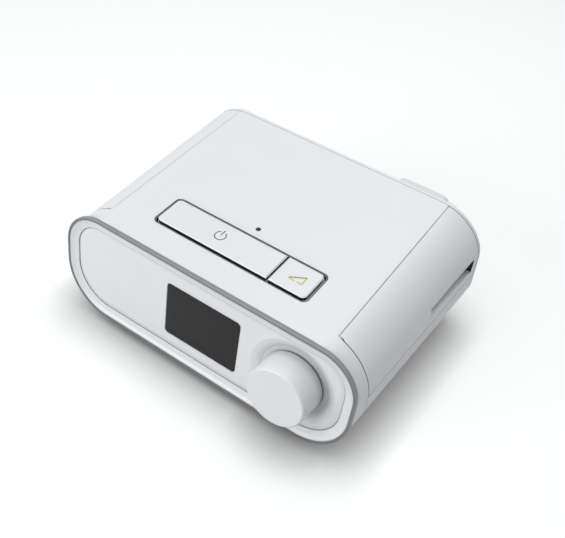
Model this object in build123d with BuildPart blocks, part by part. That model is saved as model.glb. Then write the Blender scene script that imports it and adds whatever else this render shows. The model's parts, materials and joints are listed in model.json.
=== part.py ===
"""Sleep-therapy air machine: a low moulded housing with a front dial, a display, two roof buttons,
hinged side doors over the filter and accessory bays, and a centrifugal blower in a damped air box.

Row frame, millimetres: +X to the right as seen from the front, +Y to the rear, +Z up. The origin is
on the floor, under the middle of the overall box. A "level" is a distance along a plane's outward
normal, so parts behind the front face or under the roof have negative levels. A "station" is a
distance behind the foot of the front plane.
"""

import os
from math import cos, radians, sin, tan

from build123d import *

# ---------------------------------------------------------------- housing
overall_length = 157.0        # dial face to the end of the air outlet
hull_bottom = 5.5             # underside of the base above the floor
front_lean = 4.0              # the front leans back, degrees from upright
rear_lean = 7.0               # the back leans forward, degrees from upright
top_slope = 6.1               # the roof climbs to the rear, degrees
trim_height = 64.6            # height of the front outline along its own plane
trim_half_width = 94.6
trim_shoulder = 23.5          # upper corner radius of the front outline
trim_bilge = 29.4             # lower corner radius of the front outline
trim_overhang = 0.3           # the trim stands this far outside the hull behind it
hull_flare = 2.2              # the hull is this much wider at the rear, each side
shoulder = 29.5               # radius of the hull's long upper edges
bilge = 30.0                  # radius of its long lower edges
wall = 2.4                    # moulded wall of the housing
rear_margin = 0.2             # the hull stops this far short of the outlet's end
rear_band = 4.0               # visible band of the rear panel round its edge
rear_wall = 2.6
rear_edge = 2.0               # bevel round the rear panel
seam = 0.6                    # gap round the doors
joint_gap = 0.3               # gap between fixed shells
seat_gap = 0.05               # gap between fixed parts that seat in one another
loose_gap = 0.3               # gap beside parts that move
running_fit = 0.05            # gap round turning pins and shafts
overrun = 12.0                # tool bodies reach this far past the faces they cut

# ---------------------------------------------------------------- front stack, levels
trim_width = 1.6
trim_back = -2.2              # also the front end of the top cover
trim_edge = 0.5               # bevel of the trim
bezel_width = 7.0             # outline to the faceplate seam
bezel_front = -0.4
bezel_middle_inset = 4.0
bezel_middle = -1.5
plate_back = -4.6
plate_edge = -2.6
plate_field_inset = 10.0
plate_field = -2.0
plate_seam = 0.15
loop_clearance = 3.0          # inset of parts that pass inside the front loop
carrier_front = -4.7
carrier_back = -7.0
dish_gap = 2.25               # room round the dial's rim at the floor of its seat
dish_flare = 5.5              # the dished seat opens this much wider to the faceplate's surface
dish_floor = -4.4
dish_wall = 2.0
dish_boss_wall = 2.5
screen_spacing = 57.3         # from the screen's middle to the dial's axis
screen_width = 48.0
screen_height = 34.7
screen_corner = 2.5
screen_ledge = 1.8
lens_gap = 0.2
lens_front = -2.3
lens_thickness = 1.5
module_margin_x = 5.0         # the display module is this much wider than the screen, each side
module_margin_y = 3.6
module_glass_inset = 3.0
module_gap = 1.0
module_front = -5.0
module_shoulder = -6.2
module_back = -11.2
relief_inset = 14.6           # weight-saving window of the carrier, from the trim's side to the display
relief_height = 38.0
relief_corner = 8.0
relief_margin = 8.0
control_front = -11.4
board_thickness = 1.6
board_edge = 3.5              # a board's edge to the middle of its posts
post_margin = 7.0             # the left posts stand this far from the display module
dial_post_offset = 20.2       # the right posts stand this far from the dial's axis
post_rows = (16.0, 49.0)
post_radius = 2.6
stake_radius = 1.2            # a post's stake goes through the board and is melted over
stake_rise = 0.8

# ---------------------------------------------------------------- dial
dial_inset = 36.3             # the dial's axis stands this far in from the trim's side
dial_height = 32.4            # dial and screen centre up the front plane
dial_radius = 17.0
dial_reach = 13.0             # level of the dial's face
dial_skirt = -3.4             # level of the dial's rear rim
dial_wall = 2.0
dial_taper = 0.25             # the rim is this much wider than the face
dial_edge = 0.8
dial_hub_radius = 5.4
dial_hub_back = -1.2
dial_ribs = 6
dial_rib_width = 1.2
dial_rib_recess = 1.0
dial_travel = 0.5
shaft_radius = 3.0
shaft_back = -8.8
shaft_front = 9.0
shaft_flat = 2.4              # distance of the shaft's flats from its axis
encoder_size = 13.0
encoder_front = -6.8
bushing_radius = 3.6
bushing_front = -2.0
nut_radius = 5.5
nut_thickness = 1.8
pusher_radius = 2.7
pusher_thickness = 0.9

# ---------------------------------------------------------------- doors
door_front = 17.0             # station of the doors' front edge
door_corner = 4.0
door_drop = 27.9              # the doors' lower edge lies this far below the roof's front edge
corner_relief = 1.5           # the cover's corner is cut this much sharper, to let the door swing
hinge_inset = 20.9            # the hinge axis lies this far in from the hull's front half width
nose_radius = 1.8             # rounded upper edge of a door, on its hinge axis
groove_gap = 0.4
nose_start = 21.8             # station where the nose begins
groove_start = 17.2
hinge_boss_radius = 2.6
hinge_boss_start = 12.5
hinge_pin_radius = 0.75
hinge_pin_start = 13.5
hinge_pin_reach = 8.0         # length of a pin inside the nose
scoop_length = 50.0           # sunken intake in the right door
scoop_height = 13.0
scoop_rise = 3.0              # above the door's lower edge
scoop_rear_margin = 2.0       # short of the end of the bay
scoop_depth = 7.0
scoop_wall = 1.6
scoop_round = 3.0
scoop_swing_gap = 2.6         # room round the scoop when the door swings
scoop_mouth = 11.0            # length of the open window at the deep end
scoop_mouth_margin = 1.0
scallop_radius = 9.0
scallop_depth = 3.0

# ---------------------------------------------------------------- roof buttons, levels
button_station = 34.4
button_width = 95.4
button_depth = 19.4
button_corner = 2.7
button_rise = 1.15
button_bottom = -2.4
button_edge = 0.6
button_skin = 1.7
button_gap = 0.75             # dark gap between the buttons and their frame
opening_corner = 3.5          # of the roof's opening
button_travel = 0.6
frame_gap = 0.2
frame_ring = 0.9
frame_top = -0.5
frame_floor = -5.5
frame_floor_thickness = 1.4
flange_overlap = 2.0
flange_thickness = 1.6
skirt_overlap = 0.4
skirt_thickness = 0.9
split_x = 25.0
split_gap = 1.2
stem_radius = 2.0
stem_gap = 0.4
stem_bottom = -5.1
stem_inset = 12.0             # from the ends of each button
actuator_radius = 1.6
actuator_rise = 0.5
switch_size = 6.0
switch_height = 2.0
button_board_margin = 2.7
board_leg_inset_x = 3.0
board_leg_inset_y = 2.4
sensor_station = 51.5
sensor_radius = 1.5
sensor_recess = 0.5
sensor_flange = 1.0
sensor_length = 3.6           # of the light guide behind its flange

# ---------------------------------------------------------------- rear
outlet_shift = 1.5            # the outlet stands beside and above the middle of the blower's throat
outlet_lift = 2.0
outlet_radius = 11.0
tube_wall = 1.5
tube_length = 16.0
tube_stand = 1.5              # the tube stands out of its surround
outlet_flange = 2.5
outlet_moat = 3.6             # ring-shaped space round the tube
outlet_sleeve_wall = 1.6
outlet_boss_margin = 0.5
outlet_boss_drop = 20.0       # surround below the outlet's axis
outlet_top_drop = 4.7         # top of the surround below the roof's rear edge
outlet_boss_corner = 5.0
seal_length = 2.6
seal_wall = 4.0
seal_waist = 1.0
inlet_x = -48.0
inlet_rise = 18.6             # up the rear plane
inlet_radius = 5.4
inlet_bore = 3.75
inlet_depth = 10.0
inlet_front = -0.4
inlet_pin = 0.9
inlet_pin_recess = 1.6
inlet_block = 13.0
inlet_block_back = -14.0
connector_rise = 14.6
connector_width = 24.0
connector_height = 9.0
connector_corner = 2.0
connector_flange = 2.0
connector_wall = 1.5
connector_front = -0.8
connector_floor = -6.0
connector_back = -9.0
connector_contacts = 6
contact_pitch = 3.0
contact_width = 0.8
contact_height = 3.0
contact_rise = 4.0

# ---------------------------------------------------------------- bays
bay_wall_inset = 3.9          # the bays' inner walls stand this far in from the hinge axes
bay_wall = 2.0
bay_front_margin = 5.0        # behind the doors' front edge
bay_rear_margin = 13.9        # ahead of the foot of the rear plane
bay_inset = 3.2
bay_end_wall = 1.8
liner_gap = 0.2               # between a bay and the cover's hinge groove
rib_margin = 16.0
rib_thickness = 1.6
filter_length = 58.0
filter_height = 20.0
filter_depth = 9.0
filter_rear_margin = 5.2
filter_rim = 2.0
filter_floor = 1.0
filter_lip = 0.5
filter_window_margin = 4.0
filter_windows = 3
filter_bar = 2.0
fine_filter_thickness = 1.5
card_offset = 38.0            # behind the front end of its bay
card_rise = 14.0              # above the doors' lower edge
card_width = 24.0
card_length = 32.0
card_thickness = 2.1
card_corner = 1.2
card_stand = 3.0              # the card stands this far out of its slot
card_grip_inset = 2.5
card_grip_width = 1.4
card_grip_margin = 3.0
slot_wall = 1.5
socket_offset = 38.0          # behind the card
socket_width = 22.0
socket_height = 8.0
socket_wall = 1.5
socket_depth = 11.0
socket_floor = 4.0
tongue_thickness = 1.4
tongue_margin = 3.5

# ---------------------------------------------------------------- air path
box_rear_margin = 24.9        # ahead of the foot of the rear plane
box_side_gap = 9.5            # between the air box and the filter bay
box_head_room = 6.0           # under the roof, at the box's front end
box_wall = 2.0
box_corner = 5.0
box_room_left = 13.5          # room round the volute inside the box
box_room_right = 5.5
box_room_front = 6.9
box_room_length = 13.0
lid_thickness = 2.0
lid_lip = 1.2
lid_lip_width = 1.5
spiral_gap = 3.3              # between the impeller and the spiral's start
spiral_step = 3.0
tongue = 1.0
volute_wall = 1.6
volute_height = 22.0
volute_upper = 10.0           # height of the volute's cover
volute_head_room = 4.0
eye_radius = 12.0
impeller_radius = 24.2
impeller_rise = 3.4           # over the underside of the volute
impeller_disc = 1.5
impeller_cone = 1.0
impeller_hub = 5.0
vane_count = 9
vane_inner = 8.5
vane_height_inner = 13.1
vane_height_outer = 9.6
vane_sweep = 40.0             # degrees from root to tip
vane_middle_sweep = 22.0
vane_root_angle = 8.0         # thickness of a vane as an angle at its root, middle and tip
vane_middle_angle = 4.3
vane_tip_angle = 3.0
motor_radius = 17.0
motor_wall = 1.5
motor_flange = 20.5
stator_bore = 9.0
stator_rise = 6.0             # over the underside of the motor
stator_drop = 6.0             # below the volute
stator_slots = 6
stator_slot_width = 2.2
stator_slot_length = 3.6
rotor_radius = 8.4
motor_shaft_radius = 1.5
motor_shaft_rise = 2.4        # over the underside of the motor
motor_shaft_drop = 1.5        # below the vanes' upper edges
bearing_radius = 4.0
bearing_height = 3.0
bearing_overlap = 1.4         # the upper bearing reaches this far below the volute
mount_radius = 4.0
mount_circle = 18.5
mount_height = 4.1
duct_overlap = 3.4            # the outlet duct reaches this far into the box
duct_wall = 1.6
intake_margin = 2.0           # the intake duct reaches past the filter's front end
intake_rise = 6.1             # over the box's underside
intake_top_margin = 3.3       # over the filter
intake_port_rise = 4.0
intake_port_height = 16.0
intake_port_margin = 4.0
foam_thickness = 6.0
foam_margin = 2.0
flow_inset = 18.0             # in from the air box's left side
flow_margin = 20.0            # ahead of the box's rear end
flow_length = 16.0
flow_width = 11.0
flow_height = 4.5
flow_port_radius = 1.6
flow_port_rise = 4.0
flow_port_spacing = 8.0

# ---------------------------------------------------------------- boards and fasteners
main_side_margin = 3.5        # beside the accessory bay
main_gap = 4.0                # beside the air box
main_start = 36.0
main_rear_margin = 4.0        # ahead of the box's rear end
main_rise = 8.1               # over the inner floor
capacitor_radius = 5.0
capacitor_height = 14.0
capacitor_inset = 11.5        # in from the board's sides
capacitor_margin = 12.0
choke_size = 13.0
choke_height = 7.0
choke_margin = 32.0
processor_size = 12.0
processor_height = 1.6
processor_margin = 26.0
plug_inset = 10.0
plug_width = 9.0
plug_depth = 5.0
plug_height = 6.0
plug_margin = 10.0
column_inset = 12.5           # the outer columns stand this far inside the bays' inner walls
inner_column_x = 24.0         # the fourth column stands clear of the outlet duct
front_column = 27.0
rear_column_margin = 19.6
column_radius = 3.6
column_rise = 14.8            # foot of the cover's columns over the hull's underside
boss_radius = 4.4
screw_radius = 1.5
screw_head_radius = 2.9
screw_head_height = 1.5
screw_seat_rise = 6.5
screw_length = 19.0
screw_hole_spare = 2.0
foot_inset = 20.3             # in from the ends of the hull's flat underside
front_foot = 32.0
rear_foot_margin = 21.9
foot_radius = 6.0
foot_edge = 0.6
foot_recess = 0.8
plinth_drop = 3.5             # the plinth stands this far below the base
plinth_margin_x = 19.0        # round the feet
plinth_margin_y = 11.5
plinth_corner = 12.0

# ---------------------------------------------------------------- derived frame
lean = radians(front_lean)
slope = radians(top_slope)
back = radians(rear_lean)
front_half_width = trim_half_width - trim_overhang
rear_half_width = front_half_width + hull_flare
dial_x = trim_half_width - dial_inset
screen_x = dial_x - screen_spacing
dial_toe = dial_reach * cos(lean) - (dial_height - dial_radius) * sin(lean)
front_y = -overall_length / 2 + dial_toe
rear_foot_y = overall_length / 2 - rear_margin
body_depth = rear_foot_y - front_y
top_front_z = hull_bottom + trim_height * cos(lean)
top_front_y = front_y + trim_height * sin(lean)
roof_over_foot = top_front_z - top_front_y * tan(slope) - hull_bottom
rear_top_y = (rear_foot_y - roof_over_foot * tan(back)) / (1 + tan(slope) * tan(back))
base_top = top_front_z - door_drop
hinge_x = front_half_width - hinge_inset
groove_radius = nose_radius + groove_gap

front_plane = Plane(origin=(0, front_y, hull_bottom), x_dir=(1, 0, 0), z_dir=(0, -cos(lean), sin(lean)))
rear_plane = Plane(origin=(0, rear_foot_y, hull_bottom), x_dir=(-1, 0, 0), z_dir=(0, cos(back), sin(back)))


def top_z(y):
    """Height of the roof over a row station y."""
    return top_front_z + (y - top_front_y) * tan(slope)


def roof_plane_at(station):
    """Plane on the roof's surface, its normal pointing out of the roof."""
    y = front_y + station
    return Plane(origin=(0, y, top_z(y)), x_dir=(1, 0, 0), z_dir=(0, -sin(slope), cos(slope)))


button_plane = roof_plane_at(button_station)
sensor_plane = roof_plane_at(sensor_station)
roof_underside = -wall * cos(slope)


def along(y, front_value, rear_value):
    """A hull size that changes evenly from the front to the rear."""
    share = (y - front_y) / (rear_top_y - front_y)
    return front_value + share * (rear_value - front_value)


# ---------------------------------------------------------------- shared builders
def lengthwise(edge):
    """Whether an edge runs mainly from front to rear."""
    return abs(edge.tangent_at(0).Y) > 0.9


def rounded(half_width, low, high, upper_radius, lower_radius, plane):
    """Face of an upright rounded outline with its own upper and lower corner radii."""
    with BuildSketch(plane) as face:
        with Locations((0, (low + high) / 2)):
            Rectangle(2 * half_width, high - low)
        fillet(face.vertices().group_by(Axis.Y)[-1], upper_radius)
        fillet(face.vertices().group_by(Axis.Y)[0], lower_radius)
    return face.sketch


def hull(inset=0.0):
    """The whole hull as a solid, drawn in by an inset and overrunning both end planes."""
    y_low = front_y - overrun
    y_high = rear_foot_y + overrun
    low_width = along(y_low, front_half_width, rear_half_width) - inset
    high_width = along(y_high, front_half_width, rear_half_width) - inset
    roof_slope = (0, -sin(slope), cos(slope))
    with BuildPart() as body:
        with BuildSketch(Plane.XY.offset(hull_bottom + inset)):
            with BuildLine():
                Polyline((-low_width, y_low), (low_width, y_low), (high_width, y_high),
                         (-high_width, y_high),
                         close=True)
            make_face()
        extrude(amount=2 * top_front_z)
        split(bisect_by=Plane(origin=(0, top_front_y, top_front_z - inset), z_dir=roof_slope),
              keep=Keep.BOTTOM)
        fillet(body.edges().filter_by(lengthwise).group_by(Axis.Z)[-1], shoulder - inset)
        fillet(body.edges().filter_by(lengthwise).group_by(Axis.Z)[0], bilge - inset)
    return body.part


def trim_face(inset, level):
    """Front outline drawn in by an inset, at a level of the front plane."""
    return rounded(
        trim_half_width - inset,
        inset,
        trim_height - inset,
        trim_shoulder - inset,
        trim_bilge - inset,
        front_plane.offset(level),
    )


def loop_face(inset, level):
    """Outline inside the front loop of the top cover, at a level of the front plane."""
    return rounded(
        front_half_width - inset,
        inset,
        trim_height - inset,
        shoulder - inset,
        bilge - inset,
        front_plane.offset(level),
    )


def disc(plane, x, y, radius, low, high):
    """A round boss between two levels of a plane."""
    with BuildPart() as body:
        with BuildSketch(plane.offset(low)):
            with Locations((x, y)):
                Circle(radius)
        extrude(amount=high - low)
    return body.part


def slab(plane, x, y, width, height, corner, low, high):
    """A rounded rectangular block between two levels of a plane."""
    with BuildPart() as body:
        with BuildSketch(plane.offset(low)):
            with Locations((x, y)):
                RectangleRounded(width, height, corner)
        extrude(amount=high - low)
    return body.part


def plate(plane, x, y, width, height, low, high):
    """A square-cornered block between two levels of a plane."""
    with BuildPart() as body:
        with BuildSketch(plane.offset(low)):
            with Locations((x, y)):
                Rectangle(width, height)
        extrude(amount=high - low)
    return body.part


def block(x_range, station_range, z_range):
    """A square-cornered block between two values of x, station and height."""
    x_low, x_high = x_range
    y_low, y_high = (front_y + station for station in station_range)
    return plate(Plane.XY, (x_low + x_high) / 2, (y_low + y_high) / 2, x_high - x_low, y_high - y_low,
                 *z_range)


def turned(axis_plane, outline):
    """Body of revolution: (radius, height) points spun about the plane's own Y axis."""
    with BuildPart() as body:
        with BuildSketch(axis_plane):
            with BuildLine():
                Polyline(*outline, close=True)
            make_face()
        revolve(axis=Axis(axis_plane.origin, axis_plane.y_dir))
    return body.part


def staked_post(plane, x, y, root, seat):
    """A post from root to seat that carries a board, with a stake through the board's hole."""
    outward = 1 if seat > root else -1
    tip = seat + outward * (board_thickness + stake_rise)
    with BuildPart() as post:
        add(disc(plane, x, y, post_radius, min(root, seat), max(root, seat)))
        add(disc(plane, x, y, stake_radius, min(seat, tip), max(seat, tip)))
    return post.part


def half_space(plane, keep_above=True):
    """A large block on one side of a plane, for cutting the hull to length."""
    reach = 2 * overall_length
    return plate(plane, 0, 0, reach, reach, 0 if keep_above else -reach, reach if keep_above else 0)


def within(body, limit):
    """The share of a body that lies inside a limit."""
    with BuildPart() as trimmed:
        add(body)
        add(limit, mode=Mode.INTERSECT)
    return trimmed.part


def hinge_point(y, side):
    """Hinge axis at a row station: under the surface by the nose radius, so the nose lies flush."""
    across = hinge_x - (along(y, front_half_width, rear_half_width) - shoulder)
    rise = ((shoulder - nose_radius) ** 2 - across ** 2) ** 0.5
    return Vector(side * hinge_x, y, top_z(y) + (rise - shoulder) / cos(slope))


def hinge_rod(side, radius, y_start, y_end):
    """A round rod along a door's hinge axis between two row stations."""
    first = hinge_point(front_y, side)
    last = hinge_point(rear_top_y, side)
    start = first + (last - first) * ((y_start - front_y) / (rear_top_y - front_y))
    end = first + (last - first) * ((y_end - front_y) / (rear_top_y - front_y))
    return disc(Plane(origin=start, z_dir=end - start), 0, 0, radius, 0, (end - start).length)


def door_region(side, growth, relief=0.0):
    """Upright prism over a door's plan: straight along the hinge, with one rounded front corner."""
    near = hinge_x - growth
    far = rear_half_width + overrun
    low = front_y + door_front - growth
    high = overall_length
    with BuildPart() as region:
        with BuildSketch(Plane.XY.offset(base_top + seam - growth)) as plan:
            with Locations((side * (near + far) / 2, (low + high) / 2)):
                Rectangle(far - near, high - low)
            corner = plan.vertices().group_by(Axis.Y)[0].sort_by(Axis.X)[0 if side > 0 else -1]
            fillet(corner, door_corner + growth - relief)
        extrude(amount=top_front_z)
    return region.part


os.makedirs("parts", exist_ok=True)

outer_hull = hull()
inner_hull = hull(wall)
bay_hull = hull(bay_inset)
ahead_of_rear = half_space(rear_plane, keep_above=False)
rear_end_y = rear_top_y + overrun
whole_width = (-overall_length, overall_length)
whole_depth = 2 * overall_length

# ---------------------------------------------------------------- places shared by several parts
floor_z = hull_bottom + wall
plinth_bottom = hull_bottom - plinth_drop
column_bottom = hull_bottom + column_rise
screw_seat = hull_bottom + screw_seat_rise
screw_tip = screw_seat + screw_length
rear_column = body_depth - rear_column_margin
bay_wall_x = hinge_x - bay_wall_inset
column_x = bay_wall_x - column_inset
column_sites = (
    (-column_x, front_column),
    (column_x, front_column),
    (-column_x, rear_column),
    (inner_column_x, rear_column),
)
rear_foot = body_depth - rear_foot_margin
foot_x = front_half_width - bilge - foot_inset
foot_sites = [(x, station) for station in (front_foot, rear_foot) for x in (-foot_x, foot_x)]

bay_start = door_front + bay_front_margin
bay_end = body_depth - bay_rear_margin
bay_bottom = base_top + seam
rib_stations = (bay_start + rib_margin, (bay_start + bay_end) / 2, bay_end - rib_margin)

box_end = body_depth - box_rear_margin
spiral_radius = impeller_radius + spiral_gap
box_start = box_end - 2 * spiral_radius - 2 * spiral_step - box_room_length
box_right = bay_wall_x - box_side_gap
blower_x = box_right - box_room_right - spiral_radius - 3 * spiral_step
box_left = blower_x - box_room_left - spiral_radius - spiral_step

main_end = box_end - main_rear_margin
main_left = -(bay_wall_x - main_side_margin)
main_width = box_left - main_gap - main_left
main_x = main_left + main_width / 2
main_y = front_y + (main_start + main_end) / 2
main_level = floor_z + main_rise
main_post_sites = [
    (x, station)
    for x in (main_left + board_edge, main_left + main_width - board_edge)
    for station in (main_start + board_edge, main_end - board_edge)
]

opening_width = button_width + 2 * (button_gap + frame_ring + frame_gap)
opening_depth = button_depth + 2 * (button_gap + frame_ring + frame_gap)

# ---------------------------------------------------------------- top cover
cover_end = -(rear_band + joint_gap)
base_limit = door_front - seam

with BuildPart() as top_cover:
    add(outer_hull)
    add(inner_hull, mode=Mode.SUBTRACT)
    split(bisect_by=front_plane.offset(trim_back), keep=Keep.BOTTOM)
    for x, station in column_sites:
        add(within(disc(Plane.XY, x, front_y + station, column_radius, column_bottom, 2 * top_front_z),
                   outer_hull))
    split(bisect_by=rear_plane.offset(cover_end), keep=Keep.BOTTOM)
    add(block(whole_width, (base_limit, whole_depth), (0, column_bottom)), mode=Mode.SUBTRACT)
    for side in (-1, 1):
        side_range = sorted((side * bay_wall_x, side * overall_length))
        add(block(side_range, (base_limit, whole_depth), (0, base_top)), mode=Mode.SUBTRACT)
        add(within(hinge_rod(side, hinge_boss_radius, front_y + hinge_boss_start, front_y + groove_start),
                   outer_hull))
        add(door_region(side, seam, corner_relief), mode=Mode.SUBTRACT)
        add(hinge_rod(side, groove_radius, front_y + groove_start, rear_end_y), mode=Mode.SUBTRACT)
        add(hinge_rod(side, hinge_pin_radius + seat_gap, front_y + hinge_pin_start, front_y + nose_start),
            mode=Mode.SUBTRACT)
    add(slab(button_plane, 0, 0, opening_width, opening_depth, opening_corner, -overrun, overrun),
        mode=Mode.SUBTRACT)
    add(disc(sensor_plane, 0, 0, sensor_radius, -overrun, overrun), mode=Mode.SUBTRACT)
    for x, station in column_sites:
        add(disc(Plane.XY, x, front_y + station, screw_radius, column_bottom, screw_tip + screw_hole_spare),
            mode=Mode.SUBTRACT)
top_cover.part.label = "top_cover"
export_step(top_cover.part, "parts/top_cover.step")

# ---------------------------------------------------------------- base housing
bay_rest = bay_bottom - joint_gap
skin_middle = hull_bottom + wall / 2
plinth_middle = front_y + (front_foot + rear_foot) / 2
plinth_width = 2 * (foot_x + plinth_margin_x)
plinth_length = rear_foot - front_foot + 2 * plinth_margin_y

with BuildPart() as base_housing:
    add(outer_hull)
    add(inner_hull, mode=Mode.SUBTRACT)
    add(block(whole_width, (door_front - loose_gap, whole_depth), (0, base_top)), mode=Mode.INTERSECT)
    add(slab(Plane.XY, 0, plinth_middle, plinth_width, plinth_length, plinth_corner, plinth_bottom,
             skin_middle))
    for side in (-1, 1):
        for station in rib_stations:
            rib_reach = sorted((side * (bay_wall_x + bay_wall), side * overall_length))
            rib = block(rib_reach, (station - rib_thickness / 2, station + rib_thickness / 2),
                        (hull_bottom, bay_rest))
            add(within(rib, hull(wall / 2)))
    for x, station in column_sites:
        add(disc(Plane.XY, x, front_y + station, boss_radius, skin_middle, column_bottom - joint_gap))
    for x, station in main_post_sites:
        add(staked_post(Plane.XY, x, front_y + station, skin_middle, main_level))
    split(bisect_by=rear_plane.offset(cover_end), keep=Keep.BOTTOM)
    for x, station in column_sites:
        add(disc(Plane.XY, x, front_y + station, screw_radius + seat_gap, plinth_bottom, column_bottom),
            mode=Mode.SUBTRACT)
        add(disc(Plane.XY, x, front_y + station, screw_head_radius + joint_gap, plinth_bottom, screw_seat),
            mode=Mode.SUBTRACT)
    for x, station in foot_sites:
        add(disc(Plane.XY, x, front_y + station, foot_radius + seat_gap, plinth_bottom,
                 plinth_bottom + foot_recess),
            mode=Mode.SUBTRACT)
base_housing.part.label = "base_housing"
export_step(base_housing.part, "parts/base_housing.step")

# ---------------------------------------------------------------- air box and outlet places
tube_end = overall_length / 2
outlet_bore = outlet_radius - tube_wall
outlet_flange_back = tube_end - tube_length
outlet_flange_front = outlet_flange_back - outlet_flange
outlet_boss_back = tube_end - tube_stand
outlet_recess_radius = outlet_radius + outlet_moat
outlet_sleeve_radius = outlet_recess_radius + outlet_sleeve_wall
duct_end_y = outlet_flange_front - seal_length

blower_station = box_start + box_room_front + spiral_radius + 2 * spiral_step
blower_y = front_y + blower_station
box_top = top_z(front_y + box_start) - wall - box_head_room
volute_top = box_top - volute_head_room
volute_bottom = volute_top - volute_height
volute_split = volute_top - volute_upper
throat_left = blower_x - spiral_step / 2 + spiral_radius + tongue
throat_right = blower_x + spiral_step / 2 + spiral_radius + 3 * spiral_step
throat_x = (throat_left + throat_right) / 2
throat_z = (volute_bottom + volute_top) / 2
outlet_x = throat_x + outlet_shift
outlet_z = throat_z + outlet_lift

# ---------------------------------------------------------------- rear panel
outlet_boss_top = top_z(rear_top_y) - outlet_top_drop
outlet_boss_bottom = outlet_z - outlet_boss_drop
outlet_boss_width = 2 * (outlet_sleeve_radius + outlet_boss_margin)
outlet_plane = Plane(origin=(0, 0, 0), x_dir=(-1, 0, 0), z_dir=(0, 1, 0))

with BuildPart() as rear_panel:
    add(outer_hull)
    add(ahead_of_rear, mode=Mode.INTERSECT)
    split(bisect_by=rear_plane.offset(-rear_band), keep=Keep.TOP)
    back_face = rear_panel.faces().filter_by(lambda face: face.normal_at().dot(rear_plane.z_dir) > 0.999)[0]
    chamfer(back_face.edges(), rear_edge)
    add(within(inner_hull, half_space(rear_plane.offset(-rear_wall), keep_above=False)), mode=Mode.SUBTRACT)
    for side in (-1, 1):
        boss = within(hinge_rod(side, hinge_boss_radius, rear_top_y - overrun, rear_top_y + rear_band),
                      outer_hull)
        boss = within(boss, half_space(rear_plane.offset(-rear_band)))
        add(within(boss, half_space(rear_plane.offset(-rear_wall / 2), keep_above=False)))
        add(hinge_rod(side, hinge_pin_radius + seat_gap, rear_top_y - overrun, rear_top_y - rear_wall / 2),
            mode=Mode.SUBTRACT)
    outlet_boss = slab(outlet_plane, -outlet_x, (outlet_boss_top + outlet_boss_bottom) / 2,
                       outlet_boss_width, outlet_boss_top - outlet_boss_bottom, outlet_boss_corner,
                       outlet_flange_back, outlet_boss_back)
    add(within(outlet_boss, half_space(rear_plane.offset(-rear_wall))))
    add(disc(outlet_plane, -outlet_x, outlet_z, outlet_sleeve_radius, outlet_flange_back, outlet_boss_back))
    add(disc(outlet_plane, -outlet_x, outlet_z, outlet_recess_radius, outlet_flange_front, overall_length),
        mode=Mode.SUBTRACT)
    add(disc(rear_plane, -inlet_x, inlet_rise, inlet_radius + seat_gap, -overrun, overrun),
        mode=Mode.SUBTRACT)
    add(slab(rear_plane, 0, connector_rise, connector_width + 2 * seat_gap, connector_height + 2 * seat_gap,
             connector_corner, -overrun, overrun), mode=Mode.SUBTRACT)
rear_panel.part.label = "rear_panel"
export_step(rear_panel.part, "parts/rear_panel.step")

# ---------------------------------------------------------------- side doors
door_end = -(rear_band + seam)
scoop_end = bay_end - scoop_rear_margin
scoop_start = scoop_end - scoop_length
scoop_low = base_top + scoop_rise
scoop_middle = scoop_low + scoop_height / 2


def door_shell(side):
    """Curved door skin with its rounded nose, bored for the hinge pins."""
    with BuildPart() as shell:
        add(outer_hull)
        add(inner_hull, mode=Mode.SUBTRACT)
        add(door_region(side, 0), mode=Mode.INTERSECT)
        add(hinge_rod(side, nose_radius, front_y + nose_start, rear_end_y))
        split(bisect_by=rear_plane.offset(door_end), keep=Keep.BOTTOM)
        add(hinge_rod(side, hinge_pin_radius + running_fit, front_y + groove_start, rear_end_y),
            mode=Mode.SUBTRACT)
    return shell.part


def scoop_body(growth):
    """Wedge of the sunken intake: flush at its front end and deepest at its rear end."""
    skin_x = along(front_y + scoop_end, front_half_width, rear_half_width)
    with BuildPart() as wedge:
        with BuildSketch(Plane.XY.offset(scoop_low - growth)):
            with BuildLine():
                Polyline(
                    (skin_x + overrun, front_y + scoop_start - growth),
                    (skin_x - growth, front_y + scoop_start - growth),
                    (skin_x - scoop_depth - growth, front_y + scoop_end + growth),
                    (skin_x + overrun, front_y + scoop_end + growth),
                    close=True,
                )
            make_face()
        extrude(amount=scoop_height + 2 * growth)
        ramp_edges = wedge.edges().filter_by(lengthwise).group_by(Axis.X)[0]
        fillet(ramp_edges, scoop_round)
    return wedge.part


with BuildPart() as left_side_door:
    add(door_shell(-1))
    add(disc(Plane.YZ, front_y + (bay_start + bay_end) / 2,
             base_top + seam + scallop_depth - scallop_radius,
             scallop_radius, -overall_length, -hinge_x), mode=Mode.SUBTRACT)
left_side_door.part.label = "left_side_door"
export_step(left_side_door.part, "parts/left_side_door.step")

with BuildPart() as right_filter_door:
    add(door_shell(1))
    add(within(scoop_body(scoop_wall), outer_hull))
    add(scoop_body(0), mode=Mode.SUBTRACT)
    mouth_end = front_y + scoop_end - scoop_mouth_margin
    add(slab(Plane.YZ, mouth_end - scoop_mouth / 2, scoop_middle, scoop_mouth,
             scoop_height - 2 * scoop_mouth_margin,
             scoop_mouth_margin, hinge_x, overall_length), mode=Mode.SUBTRACT)
right_filter_door.part.label = "right_filter_door"
export_step(right_filter_door.part, "parts/right_filter_door.step")

# ---------------------------------------------------------------- front trim, bezel and faceplate
dial_origin = front_plane.from_local_coords(Vector(dial_x, dial_height, 0))
dial_section = Plane(origin=dial_origin, x_dir=(1, 0, 0), z_dir=(0, -sin(lean), -cos(lean)))
dish_floor_radius = dial_radius + dial_taper + dish_gap
dish_radius = dish_floor_radius + dish_flare
dish_boss_radius = dish_floor_radius + dish_boss_wall

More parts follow.
